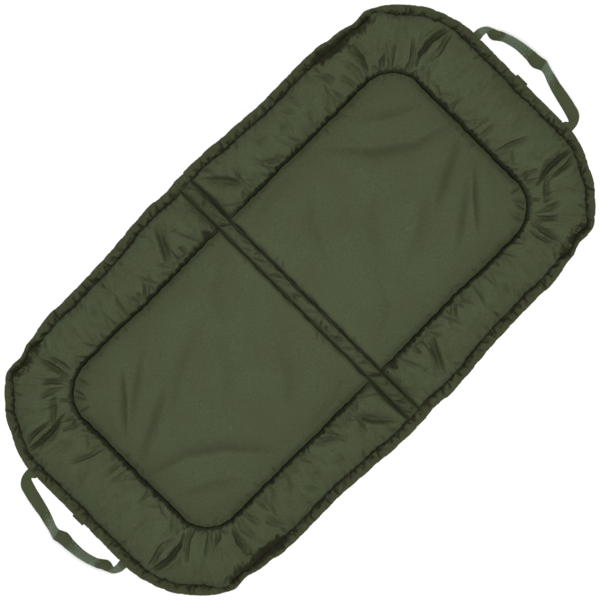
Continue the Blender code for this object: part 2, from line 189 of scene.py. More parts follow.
def strokes(points, drawn):
    # drawn folds: the depth that they cut, where they are held down, and how much painted shade
    # their bottom gets
    cut = np.zeros(points.shape[:-1])
    dark = np.zeros(points.shape[:-1])
    held = np.zeros(points.shape[:-1], bool)
    for line, depth, half, pinned in drawn:
        line = np.array(line, float) / 1000
        runs = np.linalg.norm(np.diff(line, axis=0), axis=1)
        start = np.concatenate(([0.0], np.cumsum(runs)))
        nearest = np.full(cut.shape, 9.0)
        along = np.zeros(cut.shape)
        onLeft = np.zeros(cut.shape, bool)
        for k, run in enumerate(runs):
            way = line[k + 1] - line[k]
            offset = points - line[k]
            share = np.clip((offset @ way) / run**2, 0, 1)
            far = np.linalg.norm(points - (line[k] + share[..., None] * way), axis=-1)
            closer = far < nearest
            nearest[closer] = far[closer]
            along[closer] = (start[k] + share[closer] * run) / start[-1]
            onLeft[closer] = (way[0] * offset[..., 1] - way[1] * offset[..., 0] > 0)[closer]
        fade = np.sin(np.clip(along, 0.04, 0.96) * math.pi) ** 0.6
        chance = math.sin(line[0, 0] * 1700 + line[0, 1] * 900)  # any way, but always the same
        lean = foldForm["lean"] * chance
        width = half / 1000 * (0.5 + 0.5 * fade) * np.where(onLeft, 1 + lean, 1 - lean)
        off = nearest / np.maximum(width, foldForm["leastWidth"])
        shoulder = np.exp(-((off / foldForm["shoulderWidth"] - foldForm["shoulderAt"]) ** 2))
        stroke = (np.exp(-(off**2)) - foldForm["shoulder"] * shoulder) * fade * depth / 1000
        cut = np.where(abs(stroke) > abs(cut), stroke, cut)
        steep = min(1.0, depth / (half * foldForm["darkFrom"]))
        dark = np.maximum(dark, np.exp(-((off / foldForm["darkWidth"]) ** 2)) * fade * steep)
        if pinned:
            first, last = foldForm["pinned"]
            held |= (nearest < foldForm["pinReach"]) & (along > first) & (along < last)
    return cut, held, dark


def sharper(drawn, depthShare, widthShare):  # the same folds again, as narrow creases
    return [(line, depth * depthShare, max(half * widthShare, 1.5), False)
            for line, depth, half, _ in drawn]


def moreStations(grid, times):  # a smooth curve through the old stations, cut finer
    last = len(grid) - 1
    wanted = np.arange(last * times + 1) / times
    k = np.minimum(wanted.astype(int), last - 1)
    t = (wanted - k).reshape((-1,) + (1,) * (grid.ndim - 1))
    before, here, after, beyond = (grid[np.clip(k + step, 0, last)] for step in (-1, 0, 1, 2))
    return here + t / 2 * (after - before + t * (
        2 * before - 5 * here + 4 * after - beyond + t * (3 * (here - after) + beyond - before)))


def wander(run, seed, reach):
    # how far a sewn line strays to one side, none at its ends
    stray = lineNoise(run, seed, 0.055, 9) * 0.6 + lineNoise(run, seed + 1, 0.018, 7) * 0.3
    return stray * reach * np.clip(np.minimum(run, run[-1] - run) / 0.02, 0, 1)


def gathers(path, outwards, how, seed):
    # short folds that start at a sewn line, longer and closer round the corners, as sleeve folds
    rng = np.random.default_rng(seed)
    run = runOf(path)
    bend = np.linalg.norm(np.gradient(unit(np.gradient(path, axis=0)), axis=0), axis=1)
    bend = smoothed(bend, 20)
    bend = np.clip(bend / max(bend.max(), 1e-9) * 1.6, 0, 1)
    folds = []
    at = rng.uniform(*how["gap"])
    while at < run[-1] - how["gap"][0]:
        curl = np.interp(at, run, bend)
        k = int(np.interp(at, run, np.arange(len(run))))
        way = math.atan2(outwards[k, 1], outwards[k, 0]) + rng.normal(0, how["slant"])
        length = rng.uniform(*how["length"]) * (1 + how["cornerMore"] * curl)
        turn = rng.normal(0, 0.35)
        spot = path[k] - outwards[k] * 0.002
        line = [spot * 1000]
        for step in range(3):
            spot = spot + np.array([math.cos(way), math.sin(way)]) * length / 3
            way += turn / 3
            line.append(spot * 1000)
        depth = rng.uniform(*how["depth"]) * (1 + 0.5 * curl)
        folds.append((line, depth, rng.uniform(*how["half"]), False))
        at += rng.uniform(*how["gap"]) * (1 - how["cornerCloser"] * curl)
    return folds


def softNoise(x, y, seed, pitch, count=14):
    # smooth unevenness made of crossing ripples, from -1 to 1 or so
    rng = np.random.default_rng(seed)
    total = np.zeros(np.broadcast_shapes(np.shape(x), np.shape(y)))
    for _ in range(count):
        way = rng.uniform(0, math.pi)
        size = pitch * rng.uniform(0.6, 1.8)
        phase = rng.uniform(0, 2 * math.pi)
        total += np.sin((x * math.cos(way) + y * math.sin(way)) * 2 * math.pi / size + phase)
    return total / math.sqrt(count)


def lineNoise(run, seed, pitch, count):  # the same along a line
    return softNoise(run, 0 * run, seed, pitch, count)


def gridFaces(rows, columns):
    first = (np.arange(rows - 1)[:, None] * columns + np.arange(columns - 1)).ravel()
    return np.column_stack((first, first + 1, first + columns + 1, first + columns))


def gridNormals(grid):
    return unit(np.cross(np.gradient(grid, axis=0), np.gradient(grid, axis=1)))


def upNormals(grid):
    normal = gridNormals(grid)
    return normal * np.sign(normal[..., 2].mean())


def gridBorder(rows, columns):
    top = np.arange(columns)
    right = np.arange(1, rows) * columns + columns - 1
    bottom = (rows - 1) * columns + np.arange(columns - 2, -1, -1)
    left = np.arange(rows - 2, 0, -1) * columns
    return np.concatenate((top, right, bottom, left))


def clothBody(outer, inner):
    # two grids, the seen face and the one behind it, closed round their borders
    rows, columns = outer.shape[:2]
    points = np.vstack((outer.reshape(-1, 3), inner.reshape(-1, 3)))
    count = rows * columns
    faces = gridFaces(rows, columns)
    border = gridBorder(rows, columns)
    after = np.roll(border, -1)
    rim = np.column_stack((border, border + count, after + count, after))
    return points, np.vstack((faces, faces[:, ::-1] + count, rim))


def twice(values):  # one value for each point of the front grid and of the back grid
    return np.concatenate((values.ravel(), values.ravel()))


def addObject(name, data):
    added = bpy.data.objects.new(name, data)
    bpy.context.scene.collection.objects.link(added)
    return added


def makePiece(name, points, faces, material, marks=None, uv=None, turned=False):
    points = np.asarray(points, float)
    if turned:
        points = points * [-1, -1, 1]
    mesh = bpy.data.meshes.new(name)
    mesh.from_pydata(points.tolist(), [], [tuple(map(int, face)) for face in faces])
    for label, values in (marks or {}).items():
        mark = mesh.attributes.new(label, "FLOAT", "POINT")
        mark.data.foreach_set("value", np.asarray(values, np.float32).ravel())
    if uv is not None:
        layer = mesh.uv_layers.new(name="weave")
        corners = np.zeros(len(mesh.loops), np.int32)
        mesh.loops.foreach_get("vertex_index", corners)
        layer.data.foreach_set("uv", np.asarray(uv, np.float32)[corners].ravel())
    work = bmesh.new()
    work.from_mesh(mesh)
    bmesh.ops.recalc_face_normals(work, faces=work.faces)
    work.to_mesh(mesh)
    work.free()
    mesh.shade_smooth()
    mesh.materials.append(material)
    return addObject(name, mesh)


def onBothHalves(name, points, faces, material, body, nodes, marks=None, uv=None):
    # the left half is the right one turned round
    made = []
    for side, turned in (("right", False), ("left", True)):
        piece = makePiece(side + "_" + name, points, faces, material, marks, uv, turned)
        if body:
            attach(piece, side + "_" + body)
        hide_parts(*[side + "_" + swapped(node, turned) for node in nodes])
        made.append(piece)
    return made


def swapped(node, turned):  # turned round, a front piece stands at the back
    for name, other in (("front_", "back_"), ("back_", "front_")):
        if turned and node.startswith(name):
            return node.replace(name, other)
    return node


def onStrip(name, points, faces, material, node, shade):
    piece = makePiece(name, points, faces, material, {"paintedShade": shade})
    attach(piece, "fold_strip")
    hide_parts(node)
    return piece


def linear(code):  # sRGB hex to Blender's linear colour
    parts = [int(code[k:k + 2], 16) / 255 for k in (1, 3, 5)]
    return (*[p / 12.92 if p <= 0.04045 else ((p + 0.055) / 1.055) ** 2.4 for p in parts], 1.0)


def addNode(tree, kind, settings=None, values=None, links=None):
    node = tree.nodes.new(kind)
    for key, value in (settings or {}).items():
        setattr(node, key, value)
    for key, value in (values or {}).items():
        node.inputs[key].default_value = value
    for key, source in (links or {}).items():
        tree.links.new(source, node.inputs[key])
    return node


def emptyMaterial(name):
    material = bpy.data.materials.new(name)
    material.use_nodes = True
    material.node_tree.nodes.clear()
    return material, material.node_tree


def twoTones(tree, first, second, share):  # from one colour to the other by share
    return addNode(tree, "ShaderNodeMix", {"data_type": "RGBA"},
        {"A": linear(first), "B": linear(second)}, {"Factor": share}).outputs["Result"]


def shaded(tree, values, links):  # the shader and the output that end each material
    shader = addNode(tree, "ShaderNodeBsdfPrincipled", None, values, links)
    addNode(tree, "ShaderNodeOutputMaterial", None, None, {"Surface": shader.outputs["BSDF"]})


def waveScale(millimetres):  # of Blender's wave texture, for threads this far apart
    return 1 / (millimetres / 1000) / 20 * 2 * math.pi


def clothMaterial(name, look):
    # a woven cloth with a soft coating: two close shades in drifts, with painted shade mixed in
    # along the seams, in the folds and under overhangs
    material, tree = emptyMaterial(name)
    place = addNode(tree, "ShaderNodeTexCoord").outputs["Object"]
    drift = addNode(tree, "ShaderNodeTexNoise", None,
        {"Scale": look["driftScale"], "Detail": 2.0, "Roughness": 0.55}, {"Vector": place})
    driftRamp = addNode(tree, "ShaderNodeMapRange", None,
        {"From Min": 0.36, "From Max": 0.64}, {"Value": drift.outputs["Fac"]})
    shade = twoTones(tree, look["warm"], look["cool"], driftRamp.outputs["Result"])
    grain = addNode(tree, "ShaderNodeTexNoise", None,
        {"Scale": look["grainScale"], "Detail": 3.0, "Roughness": 0.6}, {"Vector": place})
    grainRamp = addNode(tree, "ShaderNodeMapRange", None,
        {"From Min": 0.3, "From Max": 0.7,
         "To Min": 1 - look["grain"], "To Max": 1 + look["grain"]},
        {"Value": grain.outputs["Fac"]})
    mottled = addNode(tree, "ShaderNodeVectorMath", {"operation": "SCALE"}, None,
        {"Vector": shade, "Scale": grainRamp.outputs["Result"]})
    # the paintedShade attribute mixes the cloth towards the look's seam colour: painted shade
    sewn = addNode(tree, "ShaderNodeAttribute", {"attribute_name": "paintedShade"})
    darkened = addNode(tree, "ShaderNodeMix", {"data_type": "RGBA"},
        {"B": linear(look["seam"])},
        {"Factor": sewn.outputs["Fac"], "A": mottled.outputs["Vector"]})
    # threads both ways: the waves are drawn coarser than the real cloth so that they show
    heights = []
    for axis in ("X", "Y"):
        wave = addNode(tree, "ShaderNodeTexWave", {"bands_direction": axis, "wave_profile": "SIN"},
            {"Scale": waveScale(look["threadMillimetres"]), "Distortion": 0.6, "Detail": 1.0,
             "Detail Scale": 1.5}, {"Vector": place})
        heights.append(wave.outputs["Fac"])
    weave = addNode(tree, "ShaderNodeMath", {"operation": "ADD"}, None, dict(enumerate(heights)))
    crush = addNode(tree, "ShaderNodeTexNoise", None,
        {"Scale": look["crushScale"], "Detail": 3.0, "Roughness": 0.5, "Distortion": 0.4},
        {"Vector": place})
    height = addNode(tree, "ShaderNodeMath", {"operation": "MULTIPLY_ADD"},
        {1: look["crush"]}, {0: crush.outputs["Fac"], 2: weave.outputs["Value"]})
    bump = addNode(tree, "ShaderNodeBump", None,
        {"Strength": look["bump"], "Distance": look["bumpMillimetres"] / 1000},
        {"Height": height.outputs["Value"]})
    gloss = addNode(tree, "ShaderNodeMapRange", None,
        {"From Min": 0.3, "From Max": 0.7, "To Min": look["roughness"] - 0.05,
         "To Max": look["roughness"] + 0.07}, {"Value": drift.outputs["Fac"]})
    gleam = addNode(tree, "ShaderNodeMapRange", None,  # no gleam down in the seams and folds
        {"From Min": 0.1, "From Max": 0.7, "To Min": look["specular"], "To Max": 0.0},
        {"Value": sewn.outputs["Fac"]})
    shaded(tree, {"Sheen Weight": look["sheen"], "Sheen Roughness": 0.5, "IOR": 1.45,
                  "Specular IOR Level": look["specular"]},
        {"Base Color": darkened.outputs["Result"], "Roughness": gloss.outputs["Result"],
         "Specular IOR Level": gleam.outputs["Result"], "Normal": bump.outputs["Normal"]})
    return material


# in each look below, seam is the dark colour that painted shade mixes towards
# 210-denier nylon, dyed and polyurethane-coated: soft olive drifts, a dull and waxy gleam on folds
coverCloth = clothMaterial("coated_nylon_cover", {
    "warm": "#4C523A", "cool": "#4E563E", "seam": "#2C2C20", "driftScale": 14, "grainScale": 340,
    "grain": 0.15, "threadMillimetres": 1.3, "crushScale": 46, "crush": 4.0, "bump": 0.5,
    "bumpMillimetres": 0.14, "roughness": 0.74, "specular": 0.05, "sheen": 0.01,
})
# the same nylon, heavier and rubbed by the ground: darker, more matt, with a weave that shows
groundCloth = clothMaterial("coated_nylon_ground_sheet", {
    "warm": "#3B3F2A", "cool": "#3F462F", "seam": "#1C1A12", "driftScale": 7, "grainScale": 300,
    "grain": 0.09, "threadMillimetres": 1.6, "crushScale": 30, "crush": 2.0, "bump": 0.45,
    "bumpMillimetres": 0.16, "roughness": 0.66, "specular": 0.14, "sheen": 0.01,
})
# woven polyester tape folded round the raw edges: close, dry and a shade duller than the cover
tapeCloth = clothMaterial("polyester_binding_tape", {
    "warm": "#484C34", "cool": "#4A5239", "seam": "#2C2C20", "driftScale": 16, "grainScale": 500,
    "grain": 0.08, "threadMillimetres": 1.1, "crushScale": 70, "crush": 2.5, "bump": 0.4,
    "bumpMillimetres": 0.14, "roughness": 0.70, "specular": 0.07, "sheen": 0.01,
})


def webbingMaterial():
    # woven polypropylene webbing, 25 mm: lengthwise ribs crossed by a fine tweed, with paler flecks
    # at random and a painted highlight that gathers them in places
    material, tree = emptyMaterial("polypropylene_webbing")
    place = addNode(tree, "ShaderNodeUVMap", {"uv_map": "weave"}).outputs["UV"]
    ribs = addNode(tree, "ShaderNodeTexWave", {"bands_direction": "X"},
        {"Scale": waveScale(2.1), "Distortion": 0.3}, {"Vector": place})
    picks = addNode(tree, "ShaderNodeTexWave", {"bands_direction": "DIAGONAL"},
        {"Scale": waveScale(3.0), "Distortion": 0.8, "Detail": 1.0}, {"Vector": place})
    both = addNode(tree, "ShaderNodeMath", {"operation": "ADD"}, None,
        {0: ribs.outputs["Fac"], 1: picks.outputs["Fac"]})
    flecks = addNode(tree, "ShaderNodeTexNoise", None,
        {"Scale": 330.0, "Detail": 2.0, "Roughness": 0.6}, {"Vector": place})
    # reads the painted highlight, which makes the flecks pale over whole stretches
    rubbed = addNode(tree, "ShaderNodeAttribute", {"attribute_name": "paintedHighlight"})
    lifted = addNode(tree, "ShaderNodeMath", {"operation": "MULTIPLY_ADD"}, {1: 0.55, 2: -0.40},
        {0: rubbed.outputs["Fac"]})
    flecksAndHighlight = addNode(tree, "ShaderNodeMath", {"operation": "ADD"}, None,
        {0: flecks.outputs["Fac"], 1: lifted.outputs["Value"]})
    paleShare = addNode(tree, "ShaderNodeMapRange", None, {"From Min": 0.44, "From Max": 0.62},
        {"Value": flecksAndHighlight.outputs["Value"]})
    threads = addNode(tree, "ShaderNodeMapRange", None,
        {"From Min": 0.0, "From Max": 2.0, "To Min": 0.90, "To Max": 1.10},
        {"Value": both.outputs["Value"]})
    plain = twoTones(tree, "#474E35", "#66735F", paleShare.outputs["Result"])
    colour = addNode(tree, "ShaderNodeVectorMath", {"operation": "SCALE"}, None,
        {"Vector": plain, "Scale": threads.outputs["Result"]})
    bump = addNode(tree, "ShaderNodeBump", None, {"Strength": 0.35, "Distance": 0.0003},
        {"Height": both.outputs["Value"]})
    shaded(tree, {"Roughness": 0.72, "Specular IOR Level": 0.14, "Sheen Weight": 0.02, "IOR": 1.49},
        {"Base Color": colour.outputs["Vector"], "Normal": bump.outputs["Normal"]})
    return material


def threadMaterial():
    # bonded polyester thread: dark olive, lightly waxed, twisted finer than the render can show
    material, tree = emptyMaterial("polyester_thread")
    place = addNode(tree, "ShaderNodeTexCoord").outputs["Object"]
    twist = addNode(tree, "ShaderNodeTexNoise", None,
        {"Scale": 900.0, "Detail": 1.0}, {"Vector": place})
    shaded(tree, {"Roughness": 0.6, "Specular IOR Level": 0.4, "IOR": 1.5},
        {"Base Color": twoTones(tree, "#2A2A1E", "#383A28", twist.outputs["Fac"])})
    return material


def foamMaterial():
    # open-cell foam cut from sheet: pale grey, matt and finely pitted
    material, tree = emptyMaterial("open_cell_foam")
    place = addNode(tree, "ShaderNodeTexCoord").outputs["Object"]
    cells = addNode(tree, "ShaderNodeTexVoronoi", {"feature": "F1"},
        {"Scale": 700.0}, {"Vector": place})
    colour = twoTones(tree, "#8F8F89", "#A3A39C", cells.outputs["Distance"])
    bump = addNode(tree, "ShaderNodeBump", None, {"Strength": 0.5, "Distance": 0.0004},
        {"Height": cells.outputs["Distance"]})
    shaded(tree, {"Roughness": 0.85, "Specular IOR Level": 0.3, "IOR": 1.5},
        {"Base Color": colour, "Normal": bump.outputs["Normal"]})
    return material


webbing = webbingMaterial()
thread = threadMaterial()
foam = foamMaterial()
print("materials made")


# the padded sleeve round three sides of each half
sleeve = {
    "stations": (125, 105, 45), "rows": 52, "rowsToSeams": 0.3,
    "startHeight": 0.0440, "plateau": 3.6, "fill": 0.34, "fallRun": 0.080,
    "fallAt": (0, 0.09, 0.25, 0.5, 0.75, 1), "fall": (0, 0.33, 0.5, 0.74, 0.93, 1),
    "flareReach": 0.0068, "flareRise": 0.012, "footPucker": 0.24,
    "pressure": 2.6, "stiffness": 15.0, "bending": 0.7, "frames": 22, "growth": 0.026,
    "cornerGrowth": 0.065, "growthReach": 0.085, "cap": 0.010, "jitter": 0.0002,
    "cloth": 0.0008, "unevenness": 0.0011,
    # how far the filling bulges over the margin, and where along X: before the corners
    "overhang": 0.013, "overhangFrom": 0.355, "overhangTo": 0.492,
    "crumplePitch": 0.034, "crumple": 0.0008, "crumpleDark": 0.28, "ripple": 0.00025,
    "foldCreases": (0.16, 0.42), "smallCreases": (0.20, 0.55),  # shares of their depth and width
    "innerStray": 0.0016, "outerStray": 0.0012, "billow": 0.0017,
    "innerGathers": {"gap": (0.018, 0.062), "length": (0.008, 0.030), "depth": (1.3, 3.6),
                     "half": (2.4, 4.6), "slant": 0.75, "cornerMore": 1.2, "cornerCloser": 0.72},
    "outerGathers": {"gap": (0.009, 0.026), "length": (0.006, 0.020), "depth": (1.6, 4.0),
                     "half": (2.0, 3.4), "slant": 0.5, "cornerMore": 0.2, "cornerCloser": 0.1},
    "ticks": {"gap": (0.003, 0.010), "length": (0.003, 0.008), "depth": (0.8, 1.8),
              "half": (1.1, 1.7), "slant": 0.5, "cornerMore": 0.3, "cornerCloser": 0.2},
    "topGathers": {"gap": (0.014, 0.060), "length": (0.008, 0.026), "depth": (1.0, 3.0),
                   "half": (2.4, 5.0), "slant": 0.8, "cornerMore": 0.3, "cornerCloser": 0.2},
}
# Folds in the filled cloth: places in millimetres on one half, depth, half width, held down or not
sleeveFolds = (
    (((527, -152), (500, -147), (470, -146), (441, -151)), 16, 5, True),
    (((525, -160), (495, -162), (460, -158)), 10, 4, False),
    (((527, 150), (508, 157), (480, 160), (455, 157), (437, 148)), 15, 5, True),
    (((522, 143), (500, 138), (478, 131), (462, 134)), 8, 5, False),
    (((464, -150), (447, -163), (430, -180), (421, -183)), 9, 5, False),
    (((383, -190), (386, -215), (397, -250)), 9, 5, True),
    (((395, -188), (408, -205), (425, -217)), 8, 5, False),
    (((372, -192), (374, -215), (380, -236)), 6, 5, False),
    (((404, -184), (424, -196), (446, -200)), 6, 5, False),
    (((410, 152), (436, 160), (462, 182)), 9, 5, False),
    (((398, 172), (420, 190), (437, 200)), 8, 5, False),
    (((386, 184), (396, 196), (412, 200)), 7, 4, False),
    (((368, 200), (378, 222), (383, 256)), 9, 5, True),
    (((350, 192), (356, 215), (352, 240)), 5, 6, False),
    (((488, -82), (455, -66), (424, -58)), 7, 5, False),
    (((444, -121), (422, -132)), 8, 5, False),
    (((88, -268), (103, -236), (121, -205)), 12, 8, True),
    (((69, -243), (70, -241)), 6, 7, False),
    (((212, -217), (197, -192)), 6, 4, False),
    (((173, -223), (156, -196)), 5, 4, False),
    (((80, 206), (58, 240), (29, 272)), 12, 9, True),
    (((161, 191), (140, 205), (112, 226)), 7, 5, False),
    (((210, 262), (228, 235)), 4, 6, False),
    (((300, 262), (318, 230)), 4, 7, False),
    (((262, -262), (276, -232)), 4, 7, False),
)


def inflate(name, grid, held, growing, how):
    # cloth simulation of one grid under air pressure; the held points stay, growing ones gain cloth
    rows, columns = grid.shape[:2]
    mesh = bpy.data.meshes.new(name)
    mesh.from_pydata(grid.reshape(-1, 3).tolist(), [], gridFaces(rows, columns).tolist())
    mesh.update()
    if mesh.polygons[len(mesh.polygons) // 2].normal.z < 0:
        mesh.flip_normals()
    puffed = addObject(name, mesh)
    pins = puffed.vertex_groups.new(name="held")
    pins.add(np.flatnonzero(held.ravel()).tolist(), 1.0, "REPLACE")
    more = puffed.vertex_groups.new(name="growing")
    for level in range(1, 21):
        at = np.flatnonzero(np.round(growing.ravel() * 20) == level)
        if len(at):
            more.add(at.tolist(), level / 20, "REPLACE")
    modifier = puffed.modifiers.new("cloth", "CLOTH")
    cloth = modifier.settings
    cloth.quality = 5
    cloth.mass = 0.3
    cloth.tension_stiffness = how["stiffness"]
    cloth.compression_stiffness = how["stiffness"]
    cloth.shear_stiffness = how["stiffness"] / 3
    cloth.bending_stiffness = how["bending"]
    cloth.vertex_group_mass = "held"
    cloth.vertex_group_shrink = "growing"
    cloth.shrink_min = -how["growth"]
    cloth.shrink_max = -how["cornerGrowth"]
    cloth.use_pressure = True
    cloth.uniform_pressure_force = how["pressure"]
    cloth.effector_weights.gravity = 0
    modifier.collision_settings.use_collision = False
    modifier.point_cache.frame_start = 1
    modifier.point_cache.frame_end = how["frames"]
    for frameNumber in range(1, how["frames"] + 1):
        bpy.context.scene.frame_set(frameNumber)
    seen = puffed.evaluated_get(bpy.context.evaluated_depsgraph_get())
    settled = np.zeros(rows * columns * 3)
    seen.data.vertices.foreach_get("co", settled)
    bpy.data.objects.remove(puffed)
    bpy.context.scene.frame_set(1)
    moved = settled.reshape(grid.shape) - grid
    far = np.linalg.norm(moved, axis=2, keepdims=True)
    return grid + moved * np.minimum(1, how["cap"] / np.maximum(far, 1e-9))


def seamOutward(inner):  # from the bed towards the sleeve
    ahead = np.gradient(inner, axis=0)
    ahead[0], ahead[-1] = (1, 0), (-1, 0)
    ahead = unit(ahead)
    return np.column_stack((ahead[:, 1], -ahead[:, 0]))


def sleeveSurface():
    outer, inner, inward = sewnPaths(*sleeve["stations"])
    outerRun = runOf(outer)
    start = outer + inward * (mat["flange"] + wander(outerRun, 71, sleeve["outerStray"]))[:, None]
    start[0, 0], start[-1, 0] = outer[0, 0], outer[-1, 0]
    innerWay = seamOutward(inner)
    inner = inner + innerWay * wander(runOf(inner), 81, sleeve["innerStray"])[:, None]
    outside = unit(start - inner)
    share = np.linspace(0, 1, sleeve["rows"])
    # closer rows by the seams
    share -= sleeve["rowsToSeams"] * np.sin(2 * math.pi * share) / (2 * math.pi)
    flat = start[:, None] + (inner - start)[:, None] * share[None, :, None]
    x, y = flat[..., 0], flat[..., 1]
    offFold = np.clip((x - mat["foldX"]) / sleeve["fallRun"], 0, 1)
    fallen = np.interp(offFold, sleeve["fallAt"], sleeve["fall"])
    seamLevel = (mat["seamLevel"] + mat["bendLift"] * inBend(inner[:, 0], inner[:, 1]))[:, None]
    innerLevel = mat["rimLevel"] + (seamLevel - mat["rimLevel"]) * foldRise(x)
    base = mat["rimLevel"] + (innerLevel - mat["rimLevel"]) * share
    swell = (1 - abs(2 * share - 1) ** sleeve["plateau"]) ** sleeve["fill"]
    arch = (sleeve["startHeight"] - mat["rimLevel"]) * fallen
    arch = arch - (innerLevel - mat["rimLevel"]) * share
    uneven = softNoise(x, y, 21, 0.055) * sleeve["unevenness"] * swell
    billow = softNoise(outerRun[:, None], share[None, :] * 0.035, 25, 0.034)
    uneven += billow * sleeve["billow"] * swell
    z = base + np.maximum(arch, 0) * swell + uneven * (fallen > 0.2)
    # the filling hangs over the margin just before each corner
    here = outer[:, 0]
    window = np.clip((here - sleeve["overhangFrom"]) / 0.05, 0, 1)
    window = window * np.clip((sleeve["overhangTo"] - here) / 0.03, 0, 1)
    window *= abs(outer[:, 1]) > mat["bedSide"]
    window = (sleeve["overhang"] * smoothed(window, 30))[:, None, None]
    lean = np.exp(-(((share - 0.11) / 0.10) ** 2))
    flat = flat + outside[:, None] * window * lean[None, :, None]
    small = gathers(inner, innerWay, sleeve["innerGathers"], 91)
    small += gathers(start, inward, sleeve["outerGathers"], 95)
    ticks = gathers(inner, innerWay, sleeve["ticks"], 121)
    ticks += gathers(start, inward, sleeve["ticks"], 123)
    cut, held, _ = strokes(flat, sleeveFolds + tuple(small))
    z -= np.minimum(cut, np.maximum(z - mat["rimLevel"] - 0.004, 0))
    grid = np.dstack((flat, z))
    rng = np.random.default_rng(5)
    grid[1:-1, 1:-1, 2] += rng.normal(0, sleeve["jitter"], grid[1:-1, 1:-1, 2].shape)
    held[[0, -1]] = True
    held[:, [0, -1]] = True
    corner = np.array([bendX + 0.03, bendY + 0.03])
    fromCorner = np.linalg.norm(abs(flat) - corner, axis=2)
    growing = np.exp(-((fromCorner / sleeve["growthReach"]) ** 2))
    grid = inflate("sleeve_cloth", grid, held, growing, sleeve)
    # the filled side leans back from the inner seam, so that the sewn line lies open to the light
    away = ((grid[..., :2] - inner[:, None]) * innerWay[:, None]).sum(axis=2)
    above = np.maximum(grid[..., 2] - grid[:, -1:, 2], 0)
    least = sleeve["flareReach"] * (1 - np.exp(-above / sleeve["flareRise"]))
    pucker = lineNoise(runOf(inner), 407, 0.012, 9) + lineNoise(runOf(inner), 409, 0.007, 7)
    least = least * (1 + sleeve["footPucker"] * pucker[:, None])
    pastFold = np.clip((inner[:, :1] - mat["foldX"]) / 0.02, 0, 1)
    push = np.maximum(least - away, 0) * (share > 0.5) * pastFold
    grid[..., :2] += innerWay[:, None] * push[..., None]
    # finer along its length, so that the creases in the folds stay narrow
    grid = moreStations(grid, 2)
    for seed, level in enumerate((0.3, 0.5, 0.7)):
        small += gathers(start + (inner - start) * level, -outside, sleeve["topGathers"], 97 + seed)
    creases = sharper(sleeveFolds, *sleeve["foldCreases"])
    creases += sharper(small, *sleeve["smallCreases"]) + ticks
    cut, _, dark = strokes(grid[..., :2], creases)
    line = softNoise(grid[..., 0], grid[..., 1], 401, sleeve["crumplePitch"], 10)
    broken = np.clip(softNoise(grid[..., 0], grid[..., 1], 403, 0.040, 9) - 0.1, 0, 1)
    crumple = np.exp(-((line / 0.22) ** 2)) * broken
    lying = np.clip(abs(gridNormals(grid)[..., 2]) / 0.6, 0.1, 1)  # less on the steep sides
    cut = (cut + crumple * sleeve["crumple"] + line * sleeve["ripple"]) * lying
    # the crumple lines get painted shade
    dark = np.maximum(dark, crumple * sleeve["crumpleDark"])
    cut *= np.clip(np.minimum(share, 1 - share) / 0.05, 0, 1)
    grid[..., 2] -= np.minimum(cut, np.maximum(grid[..., 2] - mat["rimLevel"] - 0.002, 0))
    # the steep sides settle into even cloth
    fromSeam = np.minimum(share, 1 - share)
    nearSeam = np.clip(1 - abs(fromSeam - 0.06) / 0.09, 0, 1)[None, :, None] ** 0.5
    even = smoothed(grid, 2)
    even[:, 1:-1] = smoothed(even.swapaxes(0, 1), 1).swapaxes(0, 1)[:, 1:-1]
    nearSeam = nearSeam * (fromSeam > 0)[None, :, None]
    grid = grid + (even - grid) * nearSeam * 0.85
    return grid, share, dark


sleeveGrid, sleeveShare, sleeveCreases = sleeveSurface()
print("sleeve filled, up to", round(float(sleeveGrid[..., 2].max()) * 1000, 1), "mm")


seamLook = {  # painted shade along the sewn lines, in folds and under overhangs: reaches in metres, shades from 0 to 1
    "innerLeast": 0.0034, "innerMost": 0.0064, "inBend": 0.55, "nearFold": 1.85, "ticks": 0.28,
    "outerLeast": 0.0012, "outerMost": 0.0036,
    "ragged": (0.20, 0.16), "raggedPitch": (0.012, 0.006),
    "pinchFront": (0.372, 0.478), "pinchBack": (0.308, 0.452), "pinchFade": 0.014,
    "pinchReach": 0.0158, "pinchOnTape": 0.0138, "valleyDepth": 0.0035, "steepFrom": 0.6,
    "steepDark": 0.24, "creaseDark": 0.50, "valleyDark": 0.20, "innerDark": 0.74,
    "bedSideDark": 0.34, "outerDark": 0.97, "tapeDark": 0.95, "sideShade": 0.06,
}


def valleyShade(grid, width):
    # 0 on the open cloth, towards 1 deep in its folds
    high = grid[..., 2]
    low = smoothed(smoothed(high, width).T, width).T
    return np.clip((low - high) / seamLook["valleyDepth"], 0, 1)


def seamBreadth(run, seed, least, most):  # how broad the painted shade along a sewn line is, here and there
    level = 0.5 + 0.35 * lineNoise(run, seed, 0.060, 9) + 0.25 * lineNoise(run, seed + 1, 0.016, 7)
    return least + (most - least) * np.clip(level, 0, 1)


def innerReach(seam):  # how far the painted shade of the inner seam goes, at each station
    breadth = seamBreadth(runOf(seam), 301, seamLook["innerLeast"], seamLook["innerMost"])
    seamInBend = inBend(seam[:, 0], seam[:, 1])
    return breadth * ((1 - seamLook["inBend"] * seamInBend) * nearFold(seam[:, 0]))


def outerReach(run):  # the same for the seam along the margin
    return seamBreadth(run, 311, seamLook["outerLeast"], seamLook["outerMost"])[:, None]


def pinchAt(outer):  # 1 where the filling hangs over the margin before each corner, else 0
    first, last = (np.where(outer[:, 1] < 0, front, back)
                   for front, back in zip(seamLook["pinchFront"], seamLook["pinchBack"]))
    inside = np.minimum(outer[:, 0] - first, last - outer[:, 0])
    return np.clip(inside / seamLook["pinchFade"], 0, 1) * (abs(outer[:, 1]) > mat["bedSide"])


